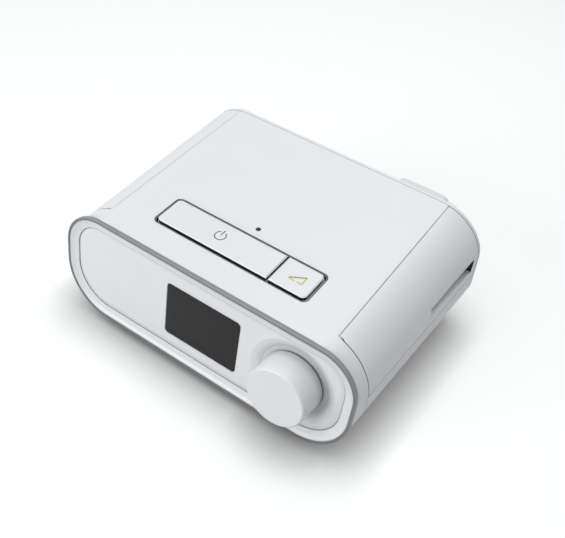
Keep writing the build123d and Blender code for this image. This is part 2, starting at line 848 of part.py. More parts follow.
with BuildPart() as front_trim_ring:
    extrude(trim_face(0, trim_back), amount=-trim_back)
    chamfer(front_trim_ring.faces().sort_by(Axis(front_plane.origin, front_plane.z_dir))[-1].edges(),
            trim_edge)
    extrude(trim_face(trim_width, trim_back), amount=-trim_back, mode=Mode.SUBTRACT)
front_trim_ring.part.label = "front_trim_ring"
export_step(front_trim_ring.part, "parts/front_trim_ring.step")

with BuildPart() as front_bezel_ring:
    extrude(trim_face(trim_width + seat_gap, trim_back), amount=bezel_front - trim_back)
    extrude(loop_face(loop_clearance, plate_back), amount=trim_back - plate_back)
    loft([trim_face(bezel_middle_inset, bezel_middle), trim_face(trim_width + joint_gap, bezel_front)],
         ruled=True,
         mode=Mode.SUBTRACT)
    loft([trim_face(bezel_width, trim_back), trim_face(bezel_middle_inset, bezel_middle)], ruled=True,
         mode=Mode.SUBTRACT)
    extrude(trim_face(bezel_width, plate_back), amount=trim_back - plate_back, mode=Mode.SUBTRACT)
front_bezel_ring.part.label = "front_bezel_ring"
export_step(front_bezel_ring.part, "parts/front_bezel_ring.step")

window_width = screen_width - 2 * screen_ledge
window_height = screen_height - 2 * screen_ledge
lens_back = lens_front - lens_thickness

with BuildPart() as front_faceplate:
    plate_inset = bezel_width + plate_seam
    extrude(trim_face(plate_inset, plate_back), amount=plate_edge - plate_back)
    loft([trim_face(plate_inset, plate_edge), trim_face(plate_field_inset, plate_field)], ruled=True)
    add(disc(front_plane, dial_x, dial_height, dish_boss_radius, dish_floor - dish_wall, plate_back))
    add(turned(dial_section, [
        (0, dish_floor),
        (dish_floor_radius, dish_floor),
        (dish_radius, plate_field),
        (dish_radius, overrun),
        (0, overrun),
    ]), mode=Mode.SUBTRACT)
    add(disc(front_plane, dial_x, dial_height, bushing_radius + seat_gap, -overrun, overrun),
        mode=Mode.SUBTRACT)
    add(slab(front_plane, screen_x, dial_height, screen_width, screen_height, screen_corner,
             lens_back - seat_gap,
             overrun), mode=Mode.SUBTRACT)
    add(plate(front_plane, screen_x, dial_height, window_width, window_height, -overrun, overrun),
        mode=Mode.SUBTRACT)
front_faceplate.part.label = "front_faceplate"
export_step(front_faceplate.part, "parts/front_faceplate.step")

with BuildPart() as display_lens:
    add(slab(front_plane, screen_x, dial_height, screen_width - 2 * lens_gap, screen_height - 2 * lens_gap,
             screen_corner - lens_gap, lens_back, lens_front))
display_lens.part.label = "display_lens"
export_step(display_lens.part, "parts/display_lens.step")

module_width = screen_width + 2 * module_margin_x
module_height = screen_height + 2 * module_margin_y
left_posts_x = screen_x - module_width / 2 - post_margin - module_gap
right_posts_x = dial_x + dial_post_offset
relief_left = relief_inset - trim_half_width
relief_width = left_posts_x - relief_margin - relief_left
relief_x = relief_left + relief_width / 2
post_sites = [(x, rise) for x in (left_posts_x, right_posts_x) for rise in post_rows]

with BuildPart() as front_carrier:
    extrude(loop_face(loop_clearance, carrier_back), amount=carrier_front - carrier_back)
    add(plate(front_plane, screen_x, dial_height, module_width + 2 * module_gap,
              module_height + 2 * module_gap,
              -overrun, overrun), mode=Mode.SUBTRACT)
    add(disc(front_plane, dial_x, dial_height, dish_boss_radius + joint_gap, -overrun, overrun),
        mode=Mode.SUBTRACT)
    add(slab(front_plane, relief_x, dial_height, relief_width, relief_height, relief_corner, -overrun,
             overrun),
        mode=Mode.SUBTRACT)
    for x, rise in post_sites:
        add(staked_post(front_plane, x, rise, carrier_back, control_front))
front_carrier.part.label = "front_carrier"
export_step(front_carrier.part, "parts/front_carrier.step")

with BuildPart() as display_module:
    add(plate(front_plane, screen_x, dial_height, module_width, module_height, module_back,
              module_shoulder))
    add(plate(front_plane, screen_x, dial_height, module_width - 2 * module_glass_inset,
              module_height - 2 * module_glass_inset, module_shoulder, module_front))
display_module.part.label = "display_module"
export_step(display_module.part, "parts/display_module.step")

with BuildPart() as control_board:
    control_back = control_front - board_thickness
    add(plate(front_plane, (left_posts_x + right_posts_x) / 2, sum(post_rows) / 2,
              right_posts_x - left_posts_x + 2 * board_edge, post_rows[-1] - post_rows[0] + 2 * board_edge,
              control_back, control_front))
    for x, rise in post_sites:
        add(disc(front_plane, x, rise, stake_radius + seat_gap, control_back, control_front),
            mode=Mode.SUBTRACT)
control_board.part.label = "control_board"
export_step(control_board.part, "parts/control_board.step")

# ---------------------------------------------------------------- dial and its encoder
dial_inner = dial_radius - dial_wall

with BuildPart() as dial_knob:
    add(turned(dial_section, [
        (dial_hub_radius, dial_hub_back),
        (dial_hub_radius, dial_reach - dial_wall),
        (dial_inner, dial_reach - dial_wall),
        (dial_inner + dial_taper, dial_skirt),
        (dial_radius + dial_taper, dial_skirt),
        (dial_radius, dial_reach - dial_edge),
        (dial_radius - dial_edge, dial_reach),
        (0, dial_reach),
        (0, dial_hub_back),
    ]))
    with BuildSketch(front_plane.offset(dial_hub_back + dial_rib_recess)):
        with Locations((dial_x, dial_height)):
            with PolarLocations((dial_hub_radius + dial_inner) / 2, dial_ribs):
                Rectangle(dial_inner - dial_hub_radius + dial_wall, dial_rib_width)
    extrude(amount=dial_reach - dial_wall - dial_hub_back - dial_rib_recess)
    with BuildSketch(front_plane.offset(dial_hub_back)):
        with Locations((dial_x, dial_height)):
            Circle(shaft_radius)
            Rectangle(2 * shaft_flat, overrun, mode=Mode.INTERSECT)
    extrude(amount=shaft_front - dial_hub_back, mode=Mode.SUBTRACT)
dial_knob.part.label = "dial_knob"
export_step(dial_knob.part, "parts/dial_knob.step")

with BuildPart() as dial_shaft:
    add(disc(front_plane, dial_x, dial_height, shaft_radius, shaft_back, dial_hub_back))
    with BuildSketch(front_plane.offset(dial_hub_back)):
        with Locations((dial_x, dial_height)):
            Circle(shaft_radius)
            Rectangle(2 * shaft_flat, overrun, mode=Mode.INTERSECT)
    extrude(amount=shaft_front - dial_hub_back)
dial_shaft.part.label = "dial_shaft"
export_step(dial_shaft.part, "parts/dial_shaft.step")

pusher_front = shaft_back - loose_gap
pusher_back = pusher_front - pusher_thickness
pocket_back = pusher_back - dial_travel - loose_gap

with BuildPart() as encoder_pusher:
    add(disc(front_plane, dial_x, dial_height, pusher_radius, pusher_back, pusher_front))
encoder_pusher.part.label = "encoder_pusher"
export_step(encoder_pusher.part, "parts/encoder_pusher.step")

with BuildPart() as dial_encoder:
    add(plate(front_plane, dial_x, dial_height, encoder_size, encoder_size, control_front, encoder_front))
    add(disc(front_plane, dial_x, dial_height, bushing_radius, encoder_front, bushing_front))
    add(disc(front_plane, dial_x, dial_height, shaft_radius + running_fit, pocket_back, bushing_front),
        mode=Mode.SUBTRACT)
dial_encoder.part.label = "dial_encoder"
export_step(dial_encoder.part, "parts/dial_encoder.step")

with BuildPart() as encoder_nut:
    with BuildSketch(front_plane.offset(dish_floor)):
        with Locations((dial_x, dial_height)):
            RegularPolygon(nut_radius, 6)
            Circle(bushing_radius + seat_gap, mode=Mode.SUBTRACT)
    extrude(amount=nut_thickness)
encoder_nut.part.label = "encoder_nut"
export_step(encoder_nut.part, "parts/encoder_nut.step")

# ---------------------------------------------------------------- roof buttons
frame_width = opening_width - 2 * frame_gap
frame_depth = opening_depth - 2 * frame_gap
frame_corner = opening_corner - frame_gap
flange_top = roof_underside - seat_gap
stem_sites = (-button_width / 2 + stem_inset, split_x - stem_inset, split_x + stem_inset)
switch_top = stem_bottom - button_travel - loose_gap
switch_base = switch_top - actuator_rise - switch_height
button_board_width = button_width - 2 * button_board_margin
button_board_depth = button_depth - button_board_margin
leg_x = button_board_width / 2 - board_leg_inset_x
leg_y = button_board_depth / 2 - board_leg_inset_y

with BuildPart() as button_frame:
    add(slab(button_plane, 0, 0, frame_width, frame_depth, frame_corner, frame_floor, frame_top))
    add(plate(button_plane, 0, 0, opening_width + 2 * flange_overlap, opening_depth + 2 * flange_overlap,
              flange_top - flange_thickness, flange_top))
    add(slab(button_plane, 0, 0, frame_width - 2 * frame_ring, frame_depth - 2 * frame_ring,
             frame_corner - frame_ring, frame_floor + frame_floor_thickness, overrun), mode=Mode.SUBTRACT)
    for x in stem_sites:
        add(disc(button_plane, x, 0, stem_radius + stem_gap, -overrun, overrun), mode=Mode.SUBTRACT)
    for x in (-leg_x, leg_x):
        for y in (-leg_y, leg_y):
            add(plate(button_plane, x, y, 2 * stem_radius, 2 * stem_radius, switch_base, frame_floor))
button_frame.part.label = "button_frame"
export_step(button_frame.part, "parts/button_frame.step")


def button_face(x_low, x_high, growth, level):
    """Plan of one button: its share of the common rounded outline."""
    with BuildSketch(button_plane.offset(level)) as face:
        RectangleRounded(button_width + 2 * growth, button_depth + 2 * growth, button_corner + growth)
        with Locations(((x_low + x_high) / 2, 0)):
            Rectangle(x_high - x_low + 2 * growth, opening_depth, mode=Mode.INTERSECT)
    return face.sketch


def button_body(x_low, x_high):
    """A hollow button cap with a skirt round its foot and its push stems."""
    with BuildPart() as cap:
        extrude(button_face(x_low, x_high, 0, button_bottom), amount=button_rise - button_bottom)
        crown = cap.faces().sort_by(Axis(button_plane.origin, button_plane.z_dir))[-1]
        chamfer(crown.edges(), button_edge)
        extrude(button_face(x_low, x_high, skirt_overlap, button_bottom), amount=skirt_thickness)
        extrude(button_face(x_low, x_high, -button_skin, button_bottom),
                amount=button_rise - button_skin - button_bottom, mode=Mode.SUBTRACT)
        for x in stem_sites:
            if x_low < x < x_high:
                add(disc(button_plane, x, 0, stem_radius, stem_bottom, button_rise - button_skin))
    return cap.part


with BuildPart() as therapy_button:
    add(button_body(-button_width / 2, split_x - split_gap / 2))
therapy_button.part.label = "therapy_button"
export_step(therapy_button.part, "parts/therapy_button.step")

with BuildPart() as ramp_button:
    add(button_body(split_x + split_gap / 2, button_width / 2))
ramp_button.part.label = "ramp_button"
export_step(ramp_button.part, "parts/ramp_button.step")

with BuildPart() as button_board:
    add(plate(button_plane, 0, 0, button_board_width, button_board_depth, switch_base - board_thickness,
              switch_base))
button_board.part.label = "button_board"
export_step(button_board.part, "parts/button_board.step")

with BuildPart() as button_switches:
    for x in stem_sites:
        add(plate(button_plane, x, 0, switch_size, switch_size, switch_base, switch_base + switch_height))
        add(disc(button_plane, x, 0, actuator_radius, switch_base + switch_height, switch_top))
button_switches.part.label = "button_switches"
export_step(button_switches.part, "parts/button_switches.step")

with BuildPart() as light_sensor_window:
    add(disc(sensor_plane, 0, 0, sensor_radius - seat_gap, flange_top, -sensor_recess))
    add(disc(sensor_plane, 0, 0, sensor_radius + sensor_flange, flange_top - sensor_length, flange_top))
light_sensor_window.part.label = "light_sensor_window"
export_step(light_sensor_window.part, "parts/light_sensor_window.step")

# ---------------------------------------------------------------- rear fittings
outlet_section = Plane(origin=(outlet_x, 0, outlet_z), x_dir=(1, 0, 0), z_dir=(0, 0, 1))

with BuildPart() as air_outlet_port:
    add(turned(outlet_section, [
        (outlet_bore, outlet_flange_front),
        (outlet_sleeve_radius, outlet_flange_front),
        (outlet_sleeve_radius, outlet_flange_back - seat_gap),
        (outlet_radius, outlet_flange_back - seat_gap),
        (outlet_radius, tube_end),
        (outlet_bore, tube_end),
    ]))
air_outlet_port.part.label = "air_outlet_port"
export_step(air_outlet_port.part, "parts/air_outlet_port.step")

with BuildPart() as outlet_seal:
    add(turned(outlet_section, [
        (outlet_bore, duct_end_y + seat_gap),
        (outlet_bore + seal_wall, duct_end_y + seat_gap),
        (outlet_bore + seal_wall - seal_waist, (duct_end_y + outlet_flange_front) / 2),
        (outlet_bore + seal_wall, outlet_flange_front - seat_gap),
        (outlet_bore, outlet_flange_front - seat_gap),
    ]))
outlet_seal.part.label = "outlet_seal"
export_step(outlet_seal.part, "parts/outlet_seal.step")

panel_back = -rear_wall - seat_gap

with BuildPart() as power_inlet:
    add(plate(rear_plane, -inlet_x, inlet_rise, inlet_block, inlet_block, inlet_block_back, panel_back))
    add(disc(rear_plane, -inlet_x, inlet_rise, inlet_radius, panel_back, inlet_front))
    add(disc(rear_plane, -inlet_x, inlet_rise, inlet_bore, inlet_front - inlet_depth, overrun),
        mode=Mode.SUBTRACT)
    add(disc(rear_plane, -inlet_x, inlet_rise, inlet_pin, inlet_front - inlet_depth,
             inlet_front - inlet_pin_recess))
power_inlet.part.label = "power_inlet"
export_step(power_inlet.part, "parts/power_inlet.step")

with BuildPart() as humidifier_connector:
    add(plate(rear_plane, 0, connector_rise, connector_width + 2 * connector_flange,
              connector_height + 2 * connector_flange, connector_back, panel_back))
    add(slab(rear_plane, 0, connector_rise, connector_width, connector_height, connector_corner, panel_back,
             connector_front))
    add(plate(rear_plane, 0, connector_rise, connector_width - 2 * connector_wall,
              connector_height - 2 * connector_wall, connector_floor, overrun), mode=Mode.SUBTRACT)
    with BuildSketch(rear_plane.offset(connector_floor)):
        with Locations((0, connector_rise)):
            with GridLocations(contact_pitch, 0, connector_contacts, 1):
                Rectangle(contact_width, contact_height)
    extrude(amount=contact_rise)
humidifier_connector.part.label = "humidifier_connector"
export_step(humidifier_connector.part, "parts/humidifier_connector.step")

# ---------------------------------------------------------------- side bays
bay_reach = (bay_bottom, 2 * top_front_z)
bay_inner_reach = (bay_bottom + bay_end_wall, 2 * top_front_z)


def bay_liner(side):
    """A tray between the inner wall and the door, open towards the door."""
    bay_outer = sorted((side * bay_wall_x, side * overall_length))
    bay_inner = sorted((side * (bay_wall_x + bay_wall), side * overall_length))
    with BuildPart() as liner:
        add(block(bay_outer, (bay_start, bay_end), bay_reach))
        add(bay_hull, mode=Mode.INTERSECT)
        add(block(bay_inner, (bay_start + bay_end_wall, bay_end - bay_end_wall), bay_inner_reach),
            mode=Mode.SUBTRACT)
        add(hinge_rod(side, groove_radius + liner_gap, front_y, rear_end_y), mode=Mode.SUBTRACT)
    return liner.part


filter_start = bay_end - bay_end_wall - filter_rear_margin - filter_length
filter_low = bay_bottom + bay_end_wall + joint_gap
filter_high = filter_low + filter_height
filter_near = bay_wall_x + bay_wall + joint_gap
filter_far = filter_near + filter_depth
filter_middle = filter_start + filter_length / 2
filter_mid_z = (filter_low + filter_high) / 2
filter_opening_length = filter_length - 2 * filter_window_margin
filter_opening_height = filter_height - 2 * filter_window_margin

with BuildPart() as filter_bay:
    add(bay_liner(1))
    add(scoop_body(scoop_wall + scoop_swing_gap), mode=Mode.SUBTRACT)
    add(plate(Plane.YZ, front_y + filter_middle, filter_mid_z, filter_opening_length, filter_opening_height,
              box_right, filter_near), mode=Mode.SUBTRACT)
    for station in (filter_start - 2 * joint_gap - bay_end_wall,
                    filter_start + filter_length + 2 * joint_gap):
        add(block((filter_near - bay_wall, filter_far), (station, station + bay_end_wall),
                  (filter_low - bay_end_wall, filter_high)))
filter_bay.part.label = "filter_bay"
export_step(filter_bay.part, "parts/filter_bay.step")

filter_pitch = (filter_opening_length + filter_bar) / filter_windows

with BuildPart() as filter_frame:
    add(plate(Plane.YZ, front_y + filter_middle, filter_mid_z, filter_length, filter_height, filter_near,
              filter_far))
    add(plate(Plane.YZ, front_y + filter_middle, filter_mid_z, filter_length - 2 * filter_rim,
              filter_height - 2 * filter_rim, filter_near + filter_floor, filter_far), mode=Mode.SUBTRACT)
    with BuildSketch(Plane.YZ.offset(filter_near)):
        with Locations((front_y + filter_middle, filter_mid_z)):
            with GridLocations(filter_pitch, 0, filter_windows, 1):
                Rectangle(filter_pitch - filter_bar, filter_opening_height)
    extrude(amount=filter_floor, mode=Mode.SUBTRACT)
filter_frame.part.label = "filter_frame"
export_step(filter_frame.part, "parts/filter_frame.step")

pad_length = filter_length - 2 * filter_rim - 2 * seat_gap
pad_height = filter_height - 2 * filter_rim - 2 * seat_gap
fine_near = filter_near + filter_floor + seat_gap
pad_near = fine_near + fine_filter_thickness + seat_gap

with BuildPart() as fine_filter:
    add(plate(Plane.YZ, front_y + filter_middle, filter_mid_z, pad_length, pad_height, fine_near,
              fine_near + fine_filter_thickness))
fine_filter.part.label = "fine_filter"
export_step(fine_filter.part, "parts/fine_filter.step")

with BuildPart() as pollen_filter:
    add(plate(Plane.YZ, front_y + filter_middle, filter_mid_z, pad_length, pad_height, pad_near,
              filter_far - filter_lip))
pollen_filter.part.label = "pollen_filter"
export_step(pollen_filter.part, "parts/pollen_filter.step")

card_y = front_y + bay_start + card_offset
card_z = base_top + card_rise
socket_y = card_y + socket_offset
bay_face_x = -(bay_wall_x + bay_wall)
slot_outer_width = card_width + 2 * (loose_gap + slot_wall)
slot_outer_height = card_thickness + 2 * (loose_gap + slot_wall)
card_tip = bay_face_x - card_stand
card_root = card_tip + card_length

with BuildPart() as accessory_bay:
    add(bay_liner(-1))
    add(plate(Plane.YZ, card_y, card_z, slot_outer_width + 2 * seat_gap, slot_outer_height + 2 * seat_gap,
              -overall_length, 0), mode=Mode.SUBTRACT)
    add(plate(Plane.YZ, socket_y, card_z, socket_width + 2 * seat_gap, socket_height + 2 * seat_gap,
              -overall_length, 0), mode=Mode.SUBTRACT)
accessory_bay.part.label = "accessory_bay"
export_step(accessory_bay.part, "parts/accessory_bay.step")

with BuildPart() as card_slot:
    add(plate(Plane.YZ, card_y, card_z, slot_outer_width, slot_outer_height, bay_face_x,
              card_root + loose_gap + slot_wall))
    add(plate(Plane.YZ, card_y, card_z, card_width + 2 * loose_gap, card_thickness + 2 * loose_gap,
              -overall_length, card_root + loose_gap), mode=Mode.SUBTRACT)
card_slot.part.label = "card_slot"
export_step(card_slot.part, "parts/card_slot.step")

with BuildPart() as memory_card:
    add(slab(Plane.XY, (card_tip + card_root) / 2, card_y, card_length, card_width, card_corner,
             card_z - card_thickness / 2, card_z + card_thickness / 2))
    add(plate(Plane.XY, card_tip + card_grip_inset, card_y, card_grip_width,
              card_width - 2 * card_grip_margin,
              card_z + card_thickness / 4, card_z + card_thickness), mode=Mode.SUBTRACT)
memory_card.part.label = "memory_card"
export_step(memory_card.part, "parts/memory_card.step")

with BuildPart() as accessory_socket:
    socket_root = bay_face_x + socket_depth
    add(plate(Plane.YZ, socket_y, card_z, socket_width, socket_height, bay_face_x, socket_root))
    add(plate(Plane.YZ, socket_y, card_z, socket_width - 2 * socket_wall, socket_height - 2 * socket_wall,
              -overall_length, socket_root - socket_floor), mode=Mode.SUBTRACT)
    add(plate(Plane.YZ, socket_y, card_z, socket_width - 2 * tongue_margin, tongue_thickness,
              bay_face_x + bay_wall, socket_root))
accessory_socket.part.label = "accessory_socket"
export_step(accessory_socket.part, "parts/accessory_socket.step")

# ---------------------------------------------------------------- air box
box_x = (box_left + box_right) / 2
box_y = front_y + (box_start + box_end) / 2
box_width = box_right - box_left
box_length = box_end - box_start
box_floor = floor_z + box_wall
lid_bottom = box_top - lid_thickness
throat_width = throat_right - throat_left
throat_height = volute_height - 2 * volute_wall
sleeve_width = throat_width + 2 * duct_wall
sleeve_height = throat_height + 2 * duct_wall
intake_start = filter_start - intake_margin
intake_end = box_end - box_wall
intake_y = front_y + (intake_start + intake_end) / 2
intake_length = intake_end - intake_start
intake_bottom = floor_z + intake_rise
intake_top = filter_high + intake_top_margin
intake_port_z = intake_bottom + intake_port_rise + intake_port_height / 2
intake_port_length = intake_length - 2 * intake_port_margin

with BuildPart() as air_box:
    add(slab(Plane.XY, box_x, box_y, box_width, box_length, box_corner, floor_z + seat_gap, lid_bottom))
    add(plate(Plane.XY, box_x, box_y, box_width - 2 * box_wall, box_length - 2 * box_wall, box_floor,
              box_top),
        mode=Mode.SUBTRACT)
    add(plate(Plane.XZ.offset(-front_y - box_end), throat_x, throat_z, sleeve_width + 2 * joint_gap,
              sleeve_height + 2 * joint_gap, -box_wall, 2 * box_wall), mode=Mode.SUBTRACT)
    add(plate(Plane.YZ.offset(box_right), intake_y, intake_port_z, intake_port_length, intake_port_height,
              -2 * box_wall, box_wall), mode=Mode.SUBTRACT)
air_box.part.label = "air_box"
export_step(air_box.part, "parts/air_box.step")

with BuildPart() as air_box_lid:
    lip_width = box_width - 2 * (box_wall + joint_gap)
    lip_length = box_length - 2 * (box_wall + joint_gap)
    add(slab(Plane.XY, box_x, box_y, box_width, box_length, box_corner, lid_bottom + seat_gap, box_top))
    add(plate(Plane.XY, box_x, box_y, lip_width, lip_length, lid_bottom - lid_lip, lid_bottom + seat_gap))
    add(plate(Plane.XY, box_x, box_y, lip_width - 2 * lid_lip_width, lip_length - 2 * lid_lip_width,
              lid_bottom - lid_lip, lid_bottom + seat_gap), mode=Mode.SUBTRACT)
air_box_lid.part.label = "air_box_lid"
export_step(air_box_lid.part, "parts/air_box_lid.step")

with BuildPart() as intake_duct:
    duct_near = box_right + seat_gap
    duct_far = bay_wall_x - seat_gap
    duct_rise = intake_top - intake_bottom
    duct_mid_z = (intake_top + intake_bottom) / 2
    add(plate(Plane.YZ, intake_y, duct_mid_z, intake_length, duct_rise, duct_near, duct_far))
    add(plate(Plane.YZ, intake_y, duct_mid_z, intake_length - 2 * duct_wall, duct_rise - 2 * duct_wall,
              duct_near + duct_wall, duct_far - duct_wall), mode=Mode.SUBTRACT)
    add(plate(Plane.YZ, intake_y, intake_port_z, intake_port_length, intake_port_height, duct_near,
              duct_near + duct_wall), mode=Mode.SUBTRACT)
    add(plate(Plane.YZ, front_y + filter_middle, filter_mid_z, filter_opening_length, filter_opening_height,
              duct_far - duct_wall, duct_far), mode=Mode.SUBTRACT)
intake_duct.part.label = "intake_duct"
export_step(intake_duct.part, "parts/intake_duct.step")

with BuildPart() as intake_foam:
    add(plate(Plane.XY, box_left + box_wall + seat_gap + foam_thickness / 2, box_y, foam_thickness,
              box_length - 2 * (box_wall + foam_margin), box_floor + seat_gap, volute_top - foam_margin))
intake_foam.part.label = "intake_foam"
export_step(intake_foam.part, "parts/intake_foam.step")


# ---------------------------------------------------------------- blower
def volute_plan(growth, level):
    """Four-arc spiral with its outlet channel, grown by a wall, on a level plane."""
    offset_step = spiral_step / 2
    centres = (
        (-offset_step, offset_step),
        (-offset_step, -offset_step),
        (offset_step, -offset_step),
        (offset_step, offset_step),
    )
    start_x = throat_left - tongue + growth
    end_x = throat_right + growth
    split_y = blower_y + offset_step
    channel_end = front_y + box_end - duct_overlap - joint_gap
    with BuildSketch(Plane.XY.offset(level)) as plan:
        with BuildLine():
            for quarter, (dx, dy) in enumerate(centres):
                CenterArc((blower_x + dx, blower_y + dy), spiral_radius + quarter * spiral_step + growth,
                          90 * quarter, 90)
            Line((end_x, split_y), (start_x, split_y))
        make_face()
        with Locations((throat_x, (split_y + channel_end) / 2)):
            Rectangle(throat_width + 2 * growth, channel_end - split_y)
    return plan.sketch


bearing_seat = bearing_radius + seat_gap
bearing_cup = bearing_radius + motor_wall
blower_section = Plane(origin=(blower_x, blower_y, 0), x_dir=(1, 0, 0), z_dir=(0, -1, 0))
motor_bottom = box_floor + mount_height
motor_top = volute_bottom - seat_gap
upper_bearing = volute_bottom - bearing_overlap
impeller_bottom = volute_bottom + impeller_rise
vane_top_inner = impeller_bottom + vane_height_inner

with BuildPart() as volute_base:
    extrude(volute_plan(volute_wall, volute_bottom), amount=volute_split - volute_bottom)
    extrude(volute_plan(0, volute_bottom + volute_wall), amount=volute_height, mode=Mode.SUBTRACT)
    add(disc(Plane.XY, blower_x, blower_y, bearing_cup, upper_bearing, volute_bottom))
    add(disc(Plane.XY, blower_x, blower_y, bearing_seat, upper_bearing, volute_top), mode=Mode.SUBTRACT)
volute_base.part.label = "volute_base"
export_step(volute_base.part, "parts/volute_base.step")

with BuildPart() as volute_cover:
    extrude(volute_plan(volute_wall, volute_split + seat_gap), amount=volute_upper - seat_gap)
    extrude(volute_plan(0, volute_split), amount=volute_upper - volute_wall, mode=Mode.SUBTRACT)
    add(disc(Plane.XY, blower_x, blower_y, eye_radius, volute_split, box_top), mode=Mode.SUBTRACT)
volute_cover.part.label = "volute_cover"
export_step(volute_cover.part, "parts/volute_cover.step")


def polar(radius, angle):
    """Point at a radius and angle round the blower's axis."""
    return blower_x + radius * cos(radians(angle)), blower_y + radius * sin(radians(angle))


with BuildPart() as impeller:
    vane_middle = (vane_inner + impeller_radius) / 2
    with BuildSketch(Plane.XY.offset(impeller_bottom)):
        for vane in range(vane_count):
            root = vane * 360 / vane_count
            middle = root - vane_middle_sweep
            tip = root - vane_sweep
            with BuildLine():
                ThreePointArc(polar(vane_inner, root), polar(vane_middle, middle),
                              polar(impeller_radius, tip))
                Line(polar(impeller_radius, tip), polar(impeller_radius, tip + vane_tip_angle))
                ThreePointArc(polar(impeller_radius, tip + vane_tip_angle),
                              polar(vane_middle, middle + vane_middle_angle),
                              polar(vane_inner, root + vane_root_angle))
                Line(polar(vane_inner, root + vane_root_angle), polar(vane_inner, root))
            make_face()
    extrude(amount=vane_height_inner)
    add(turned(blower_section, [
        (0, impeller_bottom),
        (impeller_radius, impeller_bottom),
        (impeller_radius, impeller_bottom + vane_height_outer),
        (vane_inner, vane_top_inner),
        (0, vane_top_inner),
    ]), mode=Mode.INTERSECT)
    add(turned(blower_section, [
        (motor_shaft_radius, impeller_bottom),
        (impeller_radius, impeller_bottom),
        (impeller_radius, impeller_bottom + impeller_disc),
        (vane_inner, impeller_bottom + impeller_disc + impeller_cone),
        (impeller_hub, vane_top_inner),
        (motor_shaft_radius, vane_top_inner),
    ]))
impeller.part.label = "impeller"
export_step(impeller.part, "parts/impeller.step")

with BuildPart() as motor_shaft:
    add(disc(Plane.XY, blower_x, blower_y, motor_shaft_radius, motor_bottom + motor_shaft_rise,
             vane_top_inner - motor_shaft_drop))
motor_shaft.part.label = "motor_shaft"
export_step(motor_shaft.part, "parts/motor_shaft.step")

stator_bottom = motor_bottom + stator_rise
stator_top = volute_bottom - stator_drop

with BuildPart() as motor_rotor:
    add(turned(blower_section, [
        (motor_shaft_radius, stator_bottom),
        (rotor_radius, stator_bottom),
        (rotor_radius, stator_top),
        (motor_shaft_radius, stator_top),
    ]))
motor_rotor.part.label = "motor_rotor"
export_step(motor_rotor.part, "parts/motor_rotor.step")

housing_inner = motor_radius - motor_wall

with BuildPart() as motor_stator:
    with BuildSketch(Plane.XY.offset(stator_bottom)):
        with Locations((blower_x, blower_y)):
            Circle(housing_inner - seat_gap)
            Circle(stator_bore, mode=Mode.SUBTRACT)
            with PolarLocations((stator_bore + housing_inner) / 2, stator_slots):
                Rectangle(stator_slot_width, stator_slot_length, mode=Mode.SUBTRACT)
    extrude(amount=stator_top - stator_bottom)
motor_stator.part.label = "motor_stator"
export_step(motor_stator.part, "parts/motor_stator.step")

motor_floor = motor_bottom + motor_wall

with BuildPart() as motor_housing:
    add(turned(blower_section, [
        (0, motor_bottom),
        (motor_flange, motor_bottom),
        (motor_flange, motor_floor),
        (motor_radius, motor_floor),
        (motor_radius, motor_top),
        (housing_inner, motor_top),
        (housing_inner, motor_floor),
        (bearing_cup, motor_floor),
        (bearing_cup, motor_floor + bearing_height),
        (bearing_seat, motor_floor + bearing_height),
        (bearing_seat, motor_floor),
        (0, motor_floor),
    ]))
motor_housing.part.label = "motor_housing"
export_step(motor_housing.part, "parts/motor_housing.step")

with BuildPart() as motor_bearings:
    for level in (motor_floor + seat_gap, upper_bearing + seat_gap):
        add(turned(blower_section, [
            (motor_shaft_radius + running_fit, level),
            (bearing_radius, level),
            (bearing_radius, level + bearing_height),
            (motor_shaft_radius + running_fit, level + bearing_height),
        ]))
motor_bearings.part.label = "motor_bearings"
export_step(motor_bearings.part, "parts/motor_bearings.step")

with BuildPart() as blower_mounts:
    with BuildSketch(Plane.XY.offset(box_floor)):
        with Locations((blower_x, blower_y)):
            with PolarLocations(mount_circle, 4, start_angle=45):
                Circle(mount_radius)
    extrude(amount=mount_height - seat_gap)
blower_mounts.part.label = "blower_mounts"
export_step(blower_mounts.part, "parts/blower_mounts.step")

duct_start_y = front_y + box_end - duct_overlap
chamber_start_y = front_y + box_end + joint_gap
chamber_size = 2 * (outlet_bore + duct_wall)

with BuildPart() as outlet_duct:
    add(plate(Plane.XZ, throat_x, throat_z, sleeve_width, sleeve_height, -chamber_start_y, -duct_start_y))
    add(plate(Plane.XZ, outlet_x, outlet_z, chamber_size, chamber_size, -duct_end_y, -chamber_start_y))
    add(plate(Plane.XZ, throat_x, throat_z, throat_width, throat_height, -chamber_start_y - duct_wall,
              -duct_start_y), mode=Mode.SUBTRACT)
    add(disc(Plane.XZ, outlet_x, outlet_z, outlet_bore, -duct_end_y, -chamber_start_y - duct_wall),
        mode=Mode.SUBTRACT)
outlet_duct.part.label = "outlet_duct"
export_step(outlet_duct.part, "parts/outlet_duct.step")

with BuildPart() as flow_sensor:
    flow_x = box_left + flow_inset
    flow_y = front_y + box_end - flow_margin
    flow_top = box_top + flow_height
    add(plate(Plane.XY, flow_x, flow_y, flow_length, flow_width, box_top + seat_gap, flow_top))
    for side in (-1, 1):
        add(disc(Plane.XY, flow_x + side * flow_port_spacing / 2, flow_y, flow_port_radius, flow_top,
                 flow_top + flow_port_rise))
flow_sensor.part.label = "flow_sensor"
export_step(flow_sensor.part, "parts/flow_sensor.step")

# ---------------------------------------------------------------- main board
with BuildPart() as main_board:
    add(plate(Plane.XY, main_x, main_y, main_width, main_end - main_start, main_level,
              main_level + board_thickness))
    for x, station in main_post_sites:
        add(disc(Plane.XY, x, front_y + station, stake_radius + seat_gap, main_level,
                 main_level + board_thickness),
            mode=Mode.SUBTRACT)
main_board.part.label = "main_board"
export_step(main_board.part, "parts/main_board.step")

